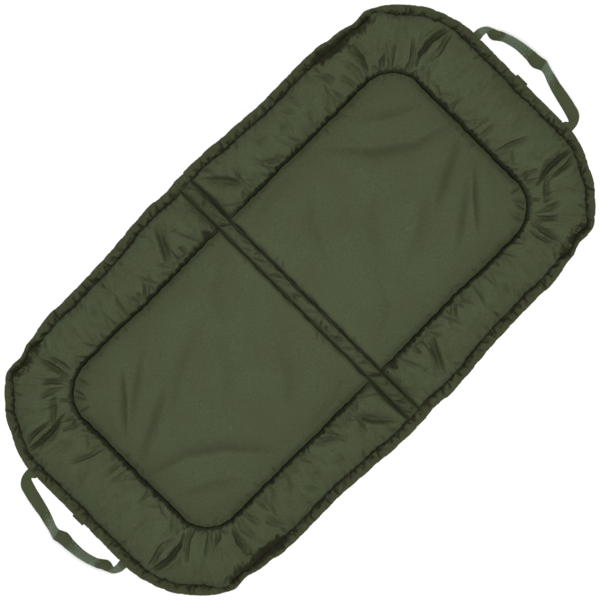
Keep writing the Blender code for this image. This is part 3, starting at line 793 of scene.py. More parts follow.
# The deep shade next to the fold strip: a band at the back, a thin line and a corner at the front.
# Each patch of the corner has its middle and reach in X and Y, noise seed and amount, edge, shade
stripShadow = {
    "bellyY": 0.235, "bellyReach": 0.055, "bandWidth": 0.0035, "bellyWidth": 0.0065,
    "bandDark": 0.75, "lineWidth": 0.0030,
    "patches": (((0.036, -0.190), (0.018, 0.026), 361, 0.11, 0.38, 0.92),
                ((0.019, -0.190), (0.017, 0.012), 363, 0.22, 0.3, 0.85)),
}


def besideStrip(x, y):
    off = x - mat["foldX"]
    belly = np.clip(1 - abs(y - stripShadow["bellyY"]) / stripShadow["bellyReach"], 0, 1)
    width = stripShadow["bandWidth"] + stripShadow["bellyWidth"] * belly
    deep = np.exp(-((off / width) ** 4)) * stripShadow["bandDark"] * (y > 0)
    deep = np.maximum(deep, np.exp(-((off / stripShadow["lineWidth"]) ** 2)) * (y < 0))
    for middle, reach, seed, amount, edge, dark in stripShadow["patches"]:
        away = abs(x - middle[0]) / reach[0] + abs(y - middle[1]) / reach[1]
        away = away + softNoise(x, y, seed, 0.009, 9) * amount
        deep = np.maximum(deep, np.clip((1 - away) / edge, 0, 1) * dark * (y < 0))
    return np.clip(deep, 0, 1)


sleeveOuter, sleeveSeam, _ = sewnPaths(*sleeve["stations"])
sleeveOuter, sleeveSeam = moreStations(sleeveOuter, 2), moreStations(sleeveSeam, 2)
# painted shade along the sleeve's outer and inner seams
sleeveSpan = np.linalg.norm(sleeveGrid[:, 0, :2] - sleeveGrid[:, -1, :2], axis=1)[:, None]
seamTicks = 1 + seamLook["ticks"] * lineNoise(runOf(sleeveSeam), 305, 0.0055, 9)
innerDark = np.maximum(innerReach(sleeveSeam) * seamTicks, 0.001)[:, None]
fromOuter = sleeveShare[None, :] * sleeveSpan
outerSeamShade = np.exp(-((fromOuter / outerReach(runOf(sleeveOuter))) ** 2))
sleeveX, sleeveY = sleeveGrid[..., 0], sleeveGrid[..., 1]
# painted shadow on the sleeve's foot where the filling hangs over the margin before each corner
ragged = 1
for seed, amount, pitch in zip((331, 333), seamLook["ragged"], seamLook["raggedPitch"]):
    ragged = ragged + amount * softNoise(sleeveX, sleeveY, seed, pitch, 11)
pinchReach = seamLook["pinchReach"] * pinchAt(sleeveOuter)[:, None] * ragged
outerSeamShade = np.maximum(outerSeamShade, np.exp(-((fromOuter / np.maximum(pinchReach, 1e-5)) ** 10)))
innerSeamShade = np.exp(-(((1 - sleeveShare[None, :]) * sleeveSpan / innerDark) ** 3))
innerSeamShade = innerSeamShade * (1 - 0.3 * inBend(sleeveSeam[:, 0], sleeveSeam[:, 1]))[:, None]
sleeveUp = abs(gridNormals(sleeveGrid)[..., 2])
# painted shade in the folds and creases, on the steep sides, and a little on the side bolsters
sleeveShade = valleyShade(sleeveGrid, 14) * seamLook["valleyDark"]
sleeveShade = sleeveShade + sleeveCreases * seamLook["creaseDark"]
sleeveSteep = np.clip((seamLook["steepFrom"] - sleeveUp) / seamLook["steepFrom"], 0, 1)
sleeveShade += sleeveSteep * seamLook["steepDark"]
sleeveShade += np.clip((abs(sleeveY) - 0.16) / 0.05, 0, 1) * seamLook["sideShade"]
sleeveShade = sleeveShade * (1 - innerSeamShade) + innerSeamShade * seamLook["innerDark"]
sleeveShade = sleeveShade * (1 - outerSeamShade) + outerSeamShade * seamLook["outerDark"]
sleeveShade = np.maximum(sleeveShade, besideStrip(sleeveX, sleeveY))
sleeveShade = np.clip(sleeveShade, 0, 1)
sleeveInner = sleeveGrid - upNormals(sleeveGrid) * sleeve["cloth"]
sleeveInner[[0, -1], :, 0] = sleeveGrid[[0, -1], :, 0]
sleevePoints, sleeveFaces = clothBody(sleeveGrid, sleeveInner)
onBothHalves("bolster_sleeve", sleevePoints, sleeveFaces, coverCloth, "half", ["bolster_cover"],
    {"paintedShade": twice(sleeveShade)})


# the bed between the sleeves
bed = {
    "columns": 220, "rows": 200, "level": 0.0142, "crown": 0.004, "crownRun": 0.07,
    "edgeRun": 0.013, "cloth": 0.0008, "unevenness": 0.0006, "tuck": 0.0008,
    "creaseDark": 2.7, "edgeTone": 0.18, "edgeToneRun": 0.075,
    "foldWander": 0.0014, "foldReach": (0.0005, 0.0036), "foldDark": 0.95,
    "ticks": {"gap": (0.004, 0.014), "length": (0.002, 0.006), "depth": (0.5, 1.2),
              "half": (1.3, 2.0), "slant": 0.5, "cornerMore": 0.2, "cornerCloser": 0.2},
    "gathers": {"gap": (0.012, 0.045), "length": (0.006, 0.020), "depth": (0.4, 1.3),
                "half": (2.3, 4.2), "slant": 0.5, "cornerMore": 0.6, "cornerCloser": 0.3},
}
# broad soft drags in the bed's cloth, drawn as the sleeve's folds are
bedDrags = (
    (((386, -50), (345, -92), (309, -135)), 2.9, 7, False),
    (((362, -59), (310, -98), (262, -135)), 2.3, 8, False),
    (((397, -3), (340, -28), (280, -59)), 3.4, 11, False),
    (((409, 32), (338, 50), (280, 91), (220, 159)), 3.8, 12, False),
    (((300, -20), (240, -60), (180, -90)), 1.9, 14, False),
    (((392, 95), (340, 120), (300, 150)), 2.1, 11, False),
    (((150, 120), (110, 80), (90, 30)), 1.7, 14, False),
    (((30, 150), (90, 168), (160, 172)), 1.0, 10, False),
    (((230, 40), (180, 0), (150, -60)), 1.4, 15, False),
    (((40, -150), (100, -120), (130, -60)), 1.4, 13, False),
    (((14, 62), (22, 66), (28, 72)), 1.2, 3, False),
    (((14, 78), (22, 80), (27, 84)), 1.0, 3, False),
    (((13, -120), (24, -116)), 0.8, 3, False),
    (((200, -186), (206, -172)), 0.8, 4, False),
    (((282, 186), (290, 170)), 0.8, 4, False),
)


def bedSurface():
    across = np.linspace(-1, 1, bed["rows"])
    across = np.sign(across) * (1 - (1 - abs(across)) ** 1.25)  # closer towards the sides
    y = (across * mat["bedSide"])[None, :]
    over = np.clip(abs(y) - bendY, 0, mat["bedRadius"])
    reach = bendX + np.sqrt(np.maximum(mat["bedRadius"] ** 2 - over**2, 0))
    along = np.linspace(0, 1, bed["columns"])
    along = (0.5 - np.cos(along * math.pi) / 2) * 0.35 + along * 0.65
    start = mat["foldX"] + mat["foldCut"]
    x = start + along[:, None] * (reach - start)
    y = np.broadcast_to(y, x.shape)
    depth = np.maximum(bedDepth(x, y), 0)
    seam = sewnPaths(*sleeve["stations"])[1]
    way = seamOutward(seam)
    stray = wander(runOf(seam), 81, sleeve["innerStray"])
    near = np.zeros(x.shape, int)
    for row in range(len(x)):
        away = (x[row][:, None] - seam[:, 0]) ** 2 + (y[row][:, None] - seam[:, 1]) ** 2
        near[row] = away.argmin(1)
    tucked = np.clip(1 - depth / 0.002, 0, 1) * bed["tuck"]  # the edge runs on under the sleeve
    pull = (stray[near] * np.clip(1 - depth / 0.02, 0, 1) + tucked)[..., None] * way[near]
    top = bed["level"] + bed["crown"] * np.sin(np.clip(depth / bed["crownRun"], 0, 1) * math.pi / 2)
    top = top + softNoise(x, y, 3, 0.12) * bed["unevenness"]
    small = gathers(seam, -way, bed["gathers"], 57) + gathers(seam, -way, bed["ticks"], 125)
    cut, _, dark = strokes(np.dstack((x, y)), bedDrags + tuple(small))
    top = top - cut * np.clip(depth / 0.004, 0, 1)
    seamLevel = mat["seamLevel"] + mat["bendLift"] * inBend(x, y)
    climb = np.sin(np.clip(depth / bed["edgeRun"], 0, 1) * math.pi / 2)
    raised = seamLevel + (top - seamLevel) * climb
    later = np.clip(lineNoise(y, 353, 0.060, 9) * 0.9, 0, 1.4) * bed["foldWander"]
    z = mat["rimLevel"] + (raised - mat["rimLevel"]) * foldRise(x, later)
    # painted shade in the drags and creases, at the inner seam and along the fold; the cloth is
    # also darker towards its edges
    nearEdge = (1 - np.clip(depth / bed["edgeToneRun"], 0, 1)) ** 2
    shade = dark * bed["creaseDark"] + bed["edgeTone"] * nearEdge
    sewn = np.exp(-((depth / innerReach(seam)[near] / 0.8) ** 4))
    shade = shade * (1 - sewn) + sewn * seamLook["bedSideDark"]
    foldReach = seamBreadth(y + 0.4, 351, *bed["foldReach"])
    offFold = np.maximum(x - mat["foldX"] - later, 0)
    shade = np.maximum(shade, np.exp(-((offFold / foldReach) ** 2)) * bed["foldDark"])
    grid = np.dstack((x + pull[..., 0] * foldRise(x), y + pull[..., 1], z))
    return grid, np.clip(shade, 0, 1)


bedGrid, bedShade = bedSurface()
bedUnder = bedGrid - upNormals(bedGrid) * bed["cloth"]
bedUnder[0, :, 0] = bedGrid[0, :, 0]
bedPoints, bedFaces = clothBody(bedGrid, bedUnder)
onBothHalves("bed_cover", bedPoints, bedFaces, coverCloth, "half", ["bed_panel"],
    {"paintedShade": twice(bedShade)})
print("bed covered")


# foam inside: a slab under each half and three blocks in each sleeve
foamCut = {
    "bottom": 0.0011, "slabTop": 0.0131, "inset": 0.030, "foldGap": 0.012, "bevel": 0.018,
    "blockBottom": 0.0134, "slack": 0.0032, "blockStep": 5, "split": 0.87, "sideShare": 0.16,
    "grooveReach": 0.009, "grooveSlack": 0.0018,  # under the inner seam
}


def outlineHalfWidth(x, side):
    # the sewn edge's Y at X, front (-1) or back (+1)
    outer = sewnPaths(60, 200, 20)[0]
    part = outer[outer[:, 1] * side > 0]
    order = np.argsort(part[:, 0])
    return np.interp(x, part[order, 0], abs(part[order, 1]))


def plateGrid(inset, firstX, lastX, columns, rows, power=1.7):
    along = 1 - (1 - np.linspace(0, 1, columns)) ** power
    x = firstX + along * (lastX - firstX)
    fine = np.linspace(0, 1, 400)
    fineX = firstX + (1 - (1 - fine) ** power) * (lastX - firstX)
    sample = np.clip(fineX + inset * 0.75 * (fineX / mat["halfLength"]) ** 6, 0, mat["halfLength"])
    front = np.interp(x, fineX, outlineHalfWidth(sample, -1) - inset)
    back = np.interp(x, fineX, outlineHalfWidth(sample, 1) - inset)
    across = np.linspace(-1, 1, rows)[None, :]
    y = np.where(across < 0, across * front[:, None], across * back[:, None])
    return np.broadcast_to(x[:, None], y.shape).copy(), y


def slabSurface():
    firstX = mat["foldX"] + foamCut["foldGap"]
    x, y = plateGrid(foamCut["inset"], firstX, mat["halfLength"] - foamCut["inset"], 90, 70)
    rise = np.clip((x - firstX) / foamCut["bevel"], 0, 1)
    top = foamCut["bottom"] + 0.001 + (foamCut["slabTop"] - foamCut["bottom"] - 0.001) * rise
    groove = np.exp(-((bedDepth(x, y) / foamCut["grooveReach"]) ** 4))
    grooveDepth = foamCut["slabTop"] - mat["seamLevel"] + foamCut["grooveSlack"]
    top = np.minimum(top, foamCut["slabTop"] - groove * grooveDepth)
    return np.dstack((x, y, top)), np.dstack((x, y, np.full_like(x, foamCut["bottom"])))


slabPoints, slabFaces = clothBody(*slabSurface())
onBothHalves("foam_slab", slabPoints, slabFaces, foam, "half", ["base_foam"])


def lowest(values, rows, columns):  # the lowest neighbour in a patch: no foam meets the cloth
    for axis, reach in ((0, rows), (1, columns)):
        steps = range(-reach, reach + 1)
        values = np.min([np.roll(values, step, axis) for step in steps], axis=0)
    return values


def blockSurface(first, last):
    step = foamCut["blockStep"]
    low = lowest(blockGrid[..., 2], step, 4) - foamCut["slack"]
    stations = np.unique(np.concatenate((np.arange(first, last, step), [last])))
    within = np.flatnonzero(np.minimum(sleeveShare, 1 - sleeveShare) > foamCut["sideShare"])
    columns = np.unique(np.concatenate((within[::4], within[-1:])))
    top = blockGrid[np.ix_(stations, columns)].copy()
    top[..., 2] = np.maximum(low[np.ix_(stations, columns)], foamCut["blockBottom"] + 0.002)
    bottom = top.copy()
    bottom[..., 2] = foamCut["blockBottom"]
    return top, bottom


blockGrid = sleeveGrid[::2]
stationCount = len(blockGrid)
sideStations, bendStations, _ = sleeve["stations"]
splitStation = sideStations + int(bendStations * foamCut["split"])
blockParts = (
    ("front_bolster_block", "front_bolster_foam", 16, splitStation - 2),
    ("end_bolster_block", "end_bolster_foam", splitStation + 2, stationCount - splitStation - 3),
    ("back_bolster_block", "back_bolster_foam",
        stationCount - splitStation + 2, stationCount - 17),
)
for label, node, first, last in blockParts:
    points, faces = clothBody(*blockSurface(first, last))
    onBothHalves(label, points, faces, foam, "half", [node])
print("foam cut")


# the ground sheet, stepped up round its rim into the sewn margin
groundSheet = {
    "cloth": 0.0008, "rim": 0.0013, "flange": 0.0200, "step": 0.0020, "layerInset": 0.0011,
    "columns": 150, "rows": 150, "pucker": 0.0005, "puckerAt": 0.030, "puckerReach": 0.014,
    "drape": 0.0003, "stepAt": 0.021, "stepReach": 0.0022, "stepDark": 0.6,
}


def groundSurface():
    inset = groundSheet["layerInset"]
    x, y = plateGrid(inset, mat["foldX"], mat["halfLength"] - inset,
        groundSheet["columns"], groundSheet["rows"], 1.9)
    outer = sewnPaths(60, 200, 40)[0]
    inside = np.full(x.shape, 9.0)
    for k in range(0, len(outer), 2):
        inside = np.minimum(inside, np.hypot(x - outer[k, 0], y - outer[k, 1]))
    fromFold = x - mat["foldX"]
    lift = groundSheet["flange"] + groundSheet["step"] - inside
    lift = np.clip(lift / groundSheet["step"], 0, 1)
    lift = np.maximum(lift, np.clip((0.005 - fromFold) / 0.002, 0, 1))
    around = np.arctan2(y, x - 0.25)
    pucker = np.clip(softNoise(around * 0.3, inside * 0.3, 8, 0.012), 0, 1.2)
    offRow = (inside - groundSheet["puckerAt"]) / groundSheet["puckerReach"]
    pucker = pucker * groundSheet["pucker"] * np.exp(-(offRow ** 2))
    drape = np.clip(softNoise(x, y, 31, 0.10), 0, 1.5) * groundSheet["drape"]
    drape = drape * np.clip(fromFold / 0.02, 0, 1)
    low = lift * groundSheet["rim"] + (pucker + drape) * (1 - lift)
    under = np.dstack((x, y, low))
    over = np.dstack((x, y, low + groundSheet["cloth"]))
    # painted shade along the step of the rim
    offStep = (inside - groundSheet["stepAt"]) / groundSheet["stepReach"]
    shade = np.exp(-(offStep ** 2)) * groundSheet["stepDark"]
    return over, under, shade


groundOver, groundUnder, groundShade = groundSurface()
groundPoints, groundFaces = clothBody(groundOver, groundUnder)
halfWidths = outlineHalfWidth(np.linspace(mat["foldX"], mat["halfLength"], 300), 1)
for piece in onBothHalves("ground_cloth", groundPoints, groundFaces, groundCloth, "half",
        ["ground_sheet"], {"paintedShade": twice(groundShade)}):
    side = piece.name.split("_")[0]
print("ground sheet laid")


# binding tape folded round the margin
tape = {
    "stations": (230, 190, 70), "thickness": 0.0007, "width": 0.0195, "tuck": 0.0035,
    "top": 0.0046, "bottom": 0.0003, "lowest": 0.0001, "nose": 0.0016, "edgeWave": 0.0008,
    "ridgeEvery": 0.0046, "ridgeHeight": 0.0026, "ridgeWidth": 0.0020, "ridgeTop": 0.0016,
    "valleyDark": 0.62, "seamMottle": 1.05, "pleatDark": 2.1, "pleatCut": (-0.0015, 0.0019),
    "pleats": {"gap": (0.005, 0.020), "length": (0.009, 0.022), "depth": (1.6, 3.6),
               "half": (1.3, 2.8), "slant": 0.6, "cornerMore": 0.2, "cornerCloser": 0.5},
}


def tapeProfile():
    # insets and shares of the height, from two rows that are tucked under the sleeve
    # over the top flap and round its fold to the bottom flap
    tucked = [(tape["width"] + tape["tuck"], 0.5), (tape["width"] + 0.0012, 0.5)]
    top = tucked + [(inset, 1.0) for inset in np.linspace(tape["width"], 0.0022, 12)]
    turn = np.linspace(0, math.pi, 7)
    nose = [(tape["nose"] - tape["nose"] * math.sin(a), 0.5 + 0.5 * math.cos(a)) for a in turn]
    bottom = [(inset, 0.0) for inset in np.linspace(0.0030, tape["width"], 6)]
    return np.array(top + nose + bottom)


def crinkles(run, inset, seed, every, height, width):
    # short slanting ridges pressed into a strip that is sewn down shorter than it is
    rng = np.random.default_rng(seed)
    high = np.zeros((len(run), len(inset)))
    total = run[-1]
    for _ in range(int(total / every)):
        centre = rng.uniform(0.004, total - 0.004)
        slant = rng.uniform(-1.1, 1.1)
        tall = height * rng.uniform(0.25, 1.0) ** 1.4
        wide = width * rng.uniform(0.6, 1.7)
        middle = rng.uniform(0.006, 0.017)
        spread = rng.uniform(0.003, 0.008)
        away = run[:, None] - centre - slant * (inset[None, :] - middle)
        within = np.exp(-(((inset[None, :] - middle) / spread) ** 2))
        high += tall * np.exp(-((away / wide) ** 2)) * within
    return high


def tapeSurface(outer, inward, seed):
    profile = tapeProfile()
    fromEdge = profile[None, :, 0]
    run = runOf(outer)
    topPart = np.where(profile[:, 1] > 0.5, 1.0, 0.0)[None, :]
    high = crinkles(run, profile[:, 0], seed,
        tape["ridgeEvery"], tape["ridgeHeight"], tape["ridgeWidth"])
    wave = lineNoise(run, seed + 1, 0.030, 8) * tape["edgeWave"]
    wave += lineNoise(run, seed + 2, 0.009, 7) * tape["edgeWave"] * 0.5
    follow = wander(run, 71, sleeve["outerStray"]) + 0.0005
    inset = fromEdge + wave[:, None] * np.exp(-fromEdge / 0.006)
    inset = np.maximum(inset, 0.0) + follow[:, None] * np.clip(fromEdge / tape["width"], 0, 1) ** 2
    level = tape["bottom"] + (tape["top"] - tape["bottom"]) * profile[None, :, 1]
    level = level + high * topPart
    flat = outer[:, None] + inward[:, None] * inset[..., None]
    flat[0, :, 0], flat[-1, :, 0] = outer[0, 0], outer[-1, 0]
    pleats = gathers(outer + inward * tape["width"], -inward, tape["pleats"], seed + 5)
    cut, _, dark = strokes(flat, pleats)
    level = level - np.clip(cut, *tape["pleatCut"]) * topPart
    grid = np.dstack((flat, np.broadcast_to(level, flat.shape[:2])))
    # painted shade in the crinkles' valleys, mottled along the seam, on the seam itself and in the
    # pleats
    shade = np.clip(1 - high / tape["ridgeTop"], 0, 1) * tape["valleyDark"]
    seamMottles = np.clip(softNoise(run[:, None], fromEdge * 1.6, seed + 3, 0.013, 12), 0, 1)
    nearSeam = np.exp(-(((fromEdge - tape["width"]) / 0.009) ** 2))
    shade = shade * (0.25 + 0.75 * nearSeam) + seamMottles * tape["seamMottle"] * nearSeam
    sewn = np.exp(-(((fromEdge - tape["width"]) / outerReach(run)) ** 2))
    shade = np.maximum(shade, sewn * seamLook["tapeDark"])
    # painted shadow on the tape under the filling's overhang before each corner
    ragged = 1 + 0.13 * softNoise(run[:, None], fromEdge, seed + 4, 0.011, 9)
    reach = seamLook["pinchOnTape"] * pinchAt(outer)[:, None] * ragged
    away = (tape["width"] - fromEdge) / np.maximum(reach, 1e-5)
    shade = np.maximum(shade, np.exp(-(away ** 8)) * seamLook["tapeDark"])
    shade = np.maximum(shade, dark * tape["pleatDark"]) * topPart
    return grid, np.clip(shade, 0, 1)


def tapeBody(grid, station):  # the tape has its thickness on the side away from its top
    normal = gridNormals(grid)
    inner = grid - normal * (tape["thickness"] * (-1 if normal[station, 3, 2] < 0 else 1))
    inner[0, :, 0], inner[-1, :, 0] = grid[0, :, 0], grid[-1, :, 0]
    points, faces = clothBody(grid, inner)
    points[:, 2] = np.maximum(points[:, 2], tape["lowest"])
    return points, faces


tapeOuter, _, tapeInward = sewnPaths(*tape["stations"])
tapeGrid, tapeShade = tapeSurface(tapeOuter, tapeInward, 12)
tapePoints, tapeFaces = tapeBody(tapeGrid, 10)
onBothHalves("edge_tape", tapePoints, tapeFaces, tapeCloth, "half", ["edge_binding"],
    {"paintedShade": twice(tapeShade)})

for label, sign in (("back", 1), ("front", -1)):  # the same tape across each end of the fold strip
    spots = np.linspace(-0.0119, 0.0119, 24)
    line = np.column_stack((spots, np.full_like(spots, mat["halfWidth"])))
    grid, shade = tapeSurface(line, np.tile([0.0, -1.0], (len(line), 1)), 40 + sign)
    points, faces = tapeBody(grid, 4)
    onStrip(label + "_strip_tape", points * [sign, sign, 1], faces, tapeCloth,
        label + "_strip_binding", twice(shade))
print("tape sewn round the margin")


# the puckered strip between the halves
strip = {
    "reach": 0.0120, "endInset": 0.0012, "rows": 560, "columns": 21, "level": 0.0026,
    "crown": 0.0060, "cloth": 0.0007, "edgeWander": 0.0011,
    "ridgeEvery": 0.0055, "ridgeHeight": 0.0020, "ridgeWidth": 0.0024,
    "driftAt": (-0.28, -0.19, -0.1, 0.05, 0.19, 0.28),
    "drift": (0.0012, -0.0006, 0.0006, -0.0006, 0.0006, -0.001),
    "puckerEvery": (0.006, 0.022), "puckerSlant": (0.5, 1.9),
    "puckerDepth": (1.2, 4.4), "puckerHalf": (1.4, 3.4), "puckerCut": (-0.0012, 0.0042),
    "baseShade": 0.15, "endShade": 0.16, "knots": ((1, 6.4, 3.2), (-1, 4.2, 2.1)), "knotDark": 1.5,
}
stripY = mat["halfWidth"] - strip["endInset"]


def stripPuckers():  # slanting folds from one seam towards the other, in millimetres
    rng = np.random.default_rng(19)
    folds = []
    y = -0.28
    while y < 0.28:
        fromSide = rng.choice((-1, 1))
        x0 = fromSide * rng.uniform(8.0, 11.5)
        x1 = x0 - fromSide * rng.uniform(8.0, 19.0)
        rise = (x0 - x1) * rng.uniform(*strip["puckerSlant"]) * rng.choice((-0.5, 1, 1, 1, 1))
        middle = ((x0 + x1) / 2 + rng.normal(0, 0.8), y * 1000 + rise * rng.uniform(0.35, 0.65))
        line = ((x0, y * 1000), middle, (x1, y * 1000 + rise))
        depth = rng.uniform(*strip["puckerDepth"])
        folds.append((line, depth, rng.uniform(*strip["puckerHalf"]), False))
        y += rng.uniform(*strip["puckerEvery"])
    for side, depth, half in strip["knots"]:  # the inner seams run on under the strip and crease it
        line = ((-18 * side, 176 * -side), (side, 188 * -side), (18 * side, 203 * -side))
        folds.append((line, depth, half, False))
    return folds


def stripSurface():
    y = np.linspace(-stripY, stripY, strip["rows"])
    x = np.linspace(-strip["reach"], strip["reach"], strip["columns"])
    share = x / strip["reach"]
    inMargin = np.clip((mat["halfWidth"] - tape["width"] - abs(y)) / 0.010, 0, 1)
    crown = (1 - share[None, :] ** 2) ** 0.7 * strip["crown"] * inMargin[:, None]
    high = crinkles(y - y[0], x + strip["reach"], 17,
        strip["ridgeEvery"], strip["ridgeHeight"], strip["ridgeWidth"])
    drift = np.interp(y, strip["driftAt"], strip["drift"])[:, None]
    z = strip["level"] + crown + high * inMargin[:, None] * (1 - share[None, :] ** 2)
    narrow = np.clip(0.4 + lineNoise(y, 347, 0.050, 9) * 0.8, 0, 1.3)
    narrow = (narrow * strip["edgeWander"] * inMargin)[:, None]
    flatX = x[None, :] + drift * (1 - share[None, :] ** 2) - narrow * share[None, :] ** 3
    grid = np.dstack((flatX, np.broadcast_to(y[:, None], z.shape), z))
    folds = stripPuckers()
    cut, _, dark = strokes(grid[..., :2], folds)
    # the knots get more painted shade than the other puckers
    _, _, knots = strokes(grid[..., :2], folds[-len(strip["knots"]):])
    cut = np.clip(cut, *strip["puckerCut"])
    grid[..., 2] -= cut * inMargin[:, None] * (1 - share[None, :] ** 4)
    return grid, np.maximum(dark, knots * strip["knotDark"])


stripGrid, stripCreases = stripSurface()
stripUnder = stripGrid - [0, 0, strip["cloth"]]
stripPoints, stripFaces = clothBody(stripGrid, stripUnder)
stripShare = np.linspace(-1, 1, strip["columns"])[None, :]
stripRun = stripGrid[:, :1, 1] + mat["halfWidth"]
# painted shade on the strip: all over, more at its ends between the bolsters, in its puckers and
# along each seam, with a little random mottling
stripDark = seamBreadth(stripRun, 341, 0.03, 0.20) * np.where(stripShare > 0, 2.3, 0.8)
stripEnds = np.clip((abs(stripGrid[..., 1]) - 0.175) / 0.02, 0, 1) * strip["endShade"]
stripBlotch = softNoise(stripGrid[..., 0], stripGrid[..., 1], 345, 0.014, 12) * 0.05
stripShade = strip["baseShade"] + stripEnds + stripBlotch + np.clip(stripCreases * 0.6, 0, 0.7)
stripShade = np.maximum(stripShade, np.exp(-(((1 - abs(stripShare)) / stripDark) ** 2)))
upperStrip = onStrip("fold_strip_cover", stripPoints, stripFaces, coverCloth,
    "upper_fold_strip", twice(stripShade))

liningNoise = softNoise(stripGrid[..., 0], stripGrid[..., 1], 9, 0.02)
liningTop = np.clip(liningNoise, -1, 1) * 0.0002 + 0.0013 + 0.0006
liningX = np.linspace(-strip["reach"], strip["reach"], strip["columns"])
liningGrid = np.dstack(np.broadcast_arrays(liningX, stripGrid[..., 1], liningTop))
liningPoints, liningFaces = clothBody(liningGrid, liningGrid - [0, 0, strip["cloth"]])
lowerStrip = onStrip("fold_strip_lining", liningPoints, liningFaces, groundCloth,
    "lower_fold_strip", np.zeros(len(liningPoints)))

# a seam tape under each fold line closes the cut between the strip and its half; its dark colour is
# painted shade for the seam's crevice
seamTape = {
    "x": (0.0098, 0.0108, 0.0117, 0.0122, 0.0125, 0.0128, 0.0133, 0.0142, 0.0152), "rows": 240,
    "low": 0.0005, "thickness": 0.0005, "rise": 0.0028, "riseInset": 0.0185, "dark": 0.85,
}
for side, sign in (("right", 1), ("left", -1)):
    y = np.linspace(-stripY, stripY, seamTape["rows"])
    rise = np.clip((abs(y) - mat["halfWidth"] + seamTape["riseInset"]) / 0.002, 0, 1)
    thick = seamTape["thickness"] + seamTape["rise"] * rise
    low = np.dstack(np.broadcast_arrays(np.array([seamTape["x"]]), y[:, None], seamTape["low"]))
    high = low + np.array([0, 0, 1.0]) * thick[:, None, None]
    points, faces = clothBody(high, low)
    fromEnd = mat["halfWidth"] - 0.019 - abs(points[:, 1])
    shade = seamTape["dark"] * np.clip(fromEnd / 0.004, 0.2, 1)
    piece = makePiece(side + "_fold_seam_tape", points * [sign, 1, 1], faces, tapeCloth,
        {"paintedShade": shade})
    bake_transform(piece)
print("fold strip sewn in")


handle = {
    "width": 0.025, "thickness": 0.0018, "level": 0.0020, "lowest": 0.0006, "mostRise": 0.0165,
    "steps": 300, "columns": 13, "ripple": 0.0006,
}
# The webbing's inner and outer edge as it lies, in millimetres, how much painted highlight it has
# there, how much of its width stands up, and how far it lies above the webbing before it
handleLie = (
    (547.5, -107.5, 547.5, -129.0, 0, 0, 0), (553.0, -107.4, 553.0, -129.2, 0, 0, 0),
    (556.5, -109.0, 560.0, -129.0, 0, 0, 0), (559.0, -112.4, 569.0, -127.2, 0, 0.05, 0),
    (560.6, -113.4, 577.0, -122.6, 0, 0.15, 0.8), (561.8, -112.0, 583.5, -115.0, 0, 0.4, 1.6),
    (563.5, -108.0, 587.6, -104.0, 0, 0.8, 1.5), (567.0, -97.0, 590.6, -91.0, 0, 1, 0.8),
    (571.0, -81.0, 594.0, -73.0, 0, 1, 0.4), (575.0, -64.5, 597.6, -54.0, 0.25, 1, 0),
    (579.5, -49.0, 600.6, -38.0, 0.65, 1, 0), (584.4, -35.5, 603.4, -23.5, 1, 1, 0),
    (589.0, -24.0, 605.8, -13.5, 1, 1, 0), (590.2, -15.0, 606.8, -9.5, 0.9, 0.9, 0),
    (587.2, -9.0, 606.4, -6.0, 0.05, 0.8, 3.4), (583.6, -1.0, 605.2, 2.0, 0, 0.8, 3.6),
    (583.6, 7.0, 604.0, 10.0, 0.1, 0.9, 2.6), (585.4, 16.5, 603.0, 18.5, 0.6, 1, 1.4),
    (585.6, 30.0, 601.6, 31.5, 0.8, 1, 0.4), (585.0, 44.0, 599.4, 46.0, 0.9, 1, 0),
    (582.0, 58.0, 595.8, 61.0, 0.95, 1, 0), (578.0, 70.0, 591.6, 73.0, 0.9, 1, 0),
    (572.0, 78.5, 588.0, 82.0, 0.3, 0.9, 0.6), (567.4, 84.5, 584.6, 88.0, 0, 0.75, 2.2),
    (566.2, 91.0, 582.4, 94.0, 0, 0.6, 3.2), (568.0, 98.0, 580.0, 100.0, 0.7, 0.5, 1.6),
    (569.2, 100.8, 576.8, 107.4, 1, 0.45, 0.3), (565.0, 101.8, 570.6, 113.2, 1, 0.25, 0),
    (560.0, 101.6, 563.0, 116.8, 0.8, 0.1, 0), (555.5, 100.8, 556.5, 117.6, 0.5, 0, 0),
    (547.5, 100.4, 547.5, 118.2, 0.3, 0, 0),
)


def handleSurface():
    lie = np.array(handleLie, float)
    middle = (lie[:, :2] + lie[:, 2:4]) / 2000
    run = runOf(middle)
    wanted = np.linspace(0, run[-1], handle["steps"])
    drawn = moreStations(lie, 24)
    drawnRun = np.interp(np.linspace(0, len(lie) - 1, len(drawn)), np.arange(len(lie)), run)
    lie = np.column_stack([np.interp(wanted, drawnRun, drawn[:, k]) for k in range(lie.shape[1])])
    near, far = lie[:, :2] / 1000, lie[:, 2:4] / 1000
    seen = np.linalg.norm(far - near, axis=1)
    rise = np.sqrt(np.maximum(handle["width"] ** 2 - seen**2, 0)) * np.clip(lie[:, 5], 0, 1)
    rise = np.minimum(rise, handle["mostRise"])
    share = np.linspace(-1, 1, handle["columns"])
    flat = near[:, None] + (far - near)[:, None] * ((share + 1) / 2)[None, :, None]
    level = handle["level"] + np.maximum(lie[:, 6], 0)[:, None] / 1000
    level = level + rise[:, None] * (share + 1)[None, :] / 2
    cup = (1 - share**2)[None, :] * (0.0010 + 0.10 * rise[:, None])
    cup = cup * np.clip(lie[:, 5] * 3, 0, 1)[:, None]
    ripple = lineNoise(wanted, 77, 0.05, 6)[:, None] * handle["ripple"]
    ripple = ripple * np.clip(np.minimum(wanted, wanted[-1] - wanted) / 0.03 - 0.5, 0, 1)[:, None]
    grid = np.dstack((flat, level + cup + ripple))
    uv = np.dstack(np.broadcast_arrays(share[None, :] * handle["width"] / 2, wanted[:, None]))
    return grid, uv, np.broadcast_to(np.clip(lie[:, 4:5], 0, 1), grid.shape[:2])


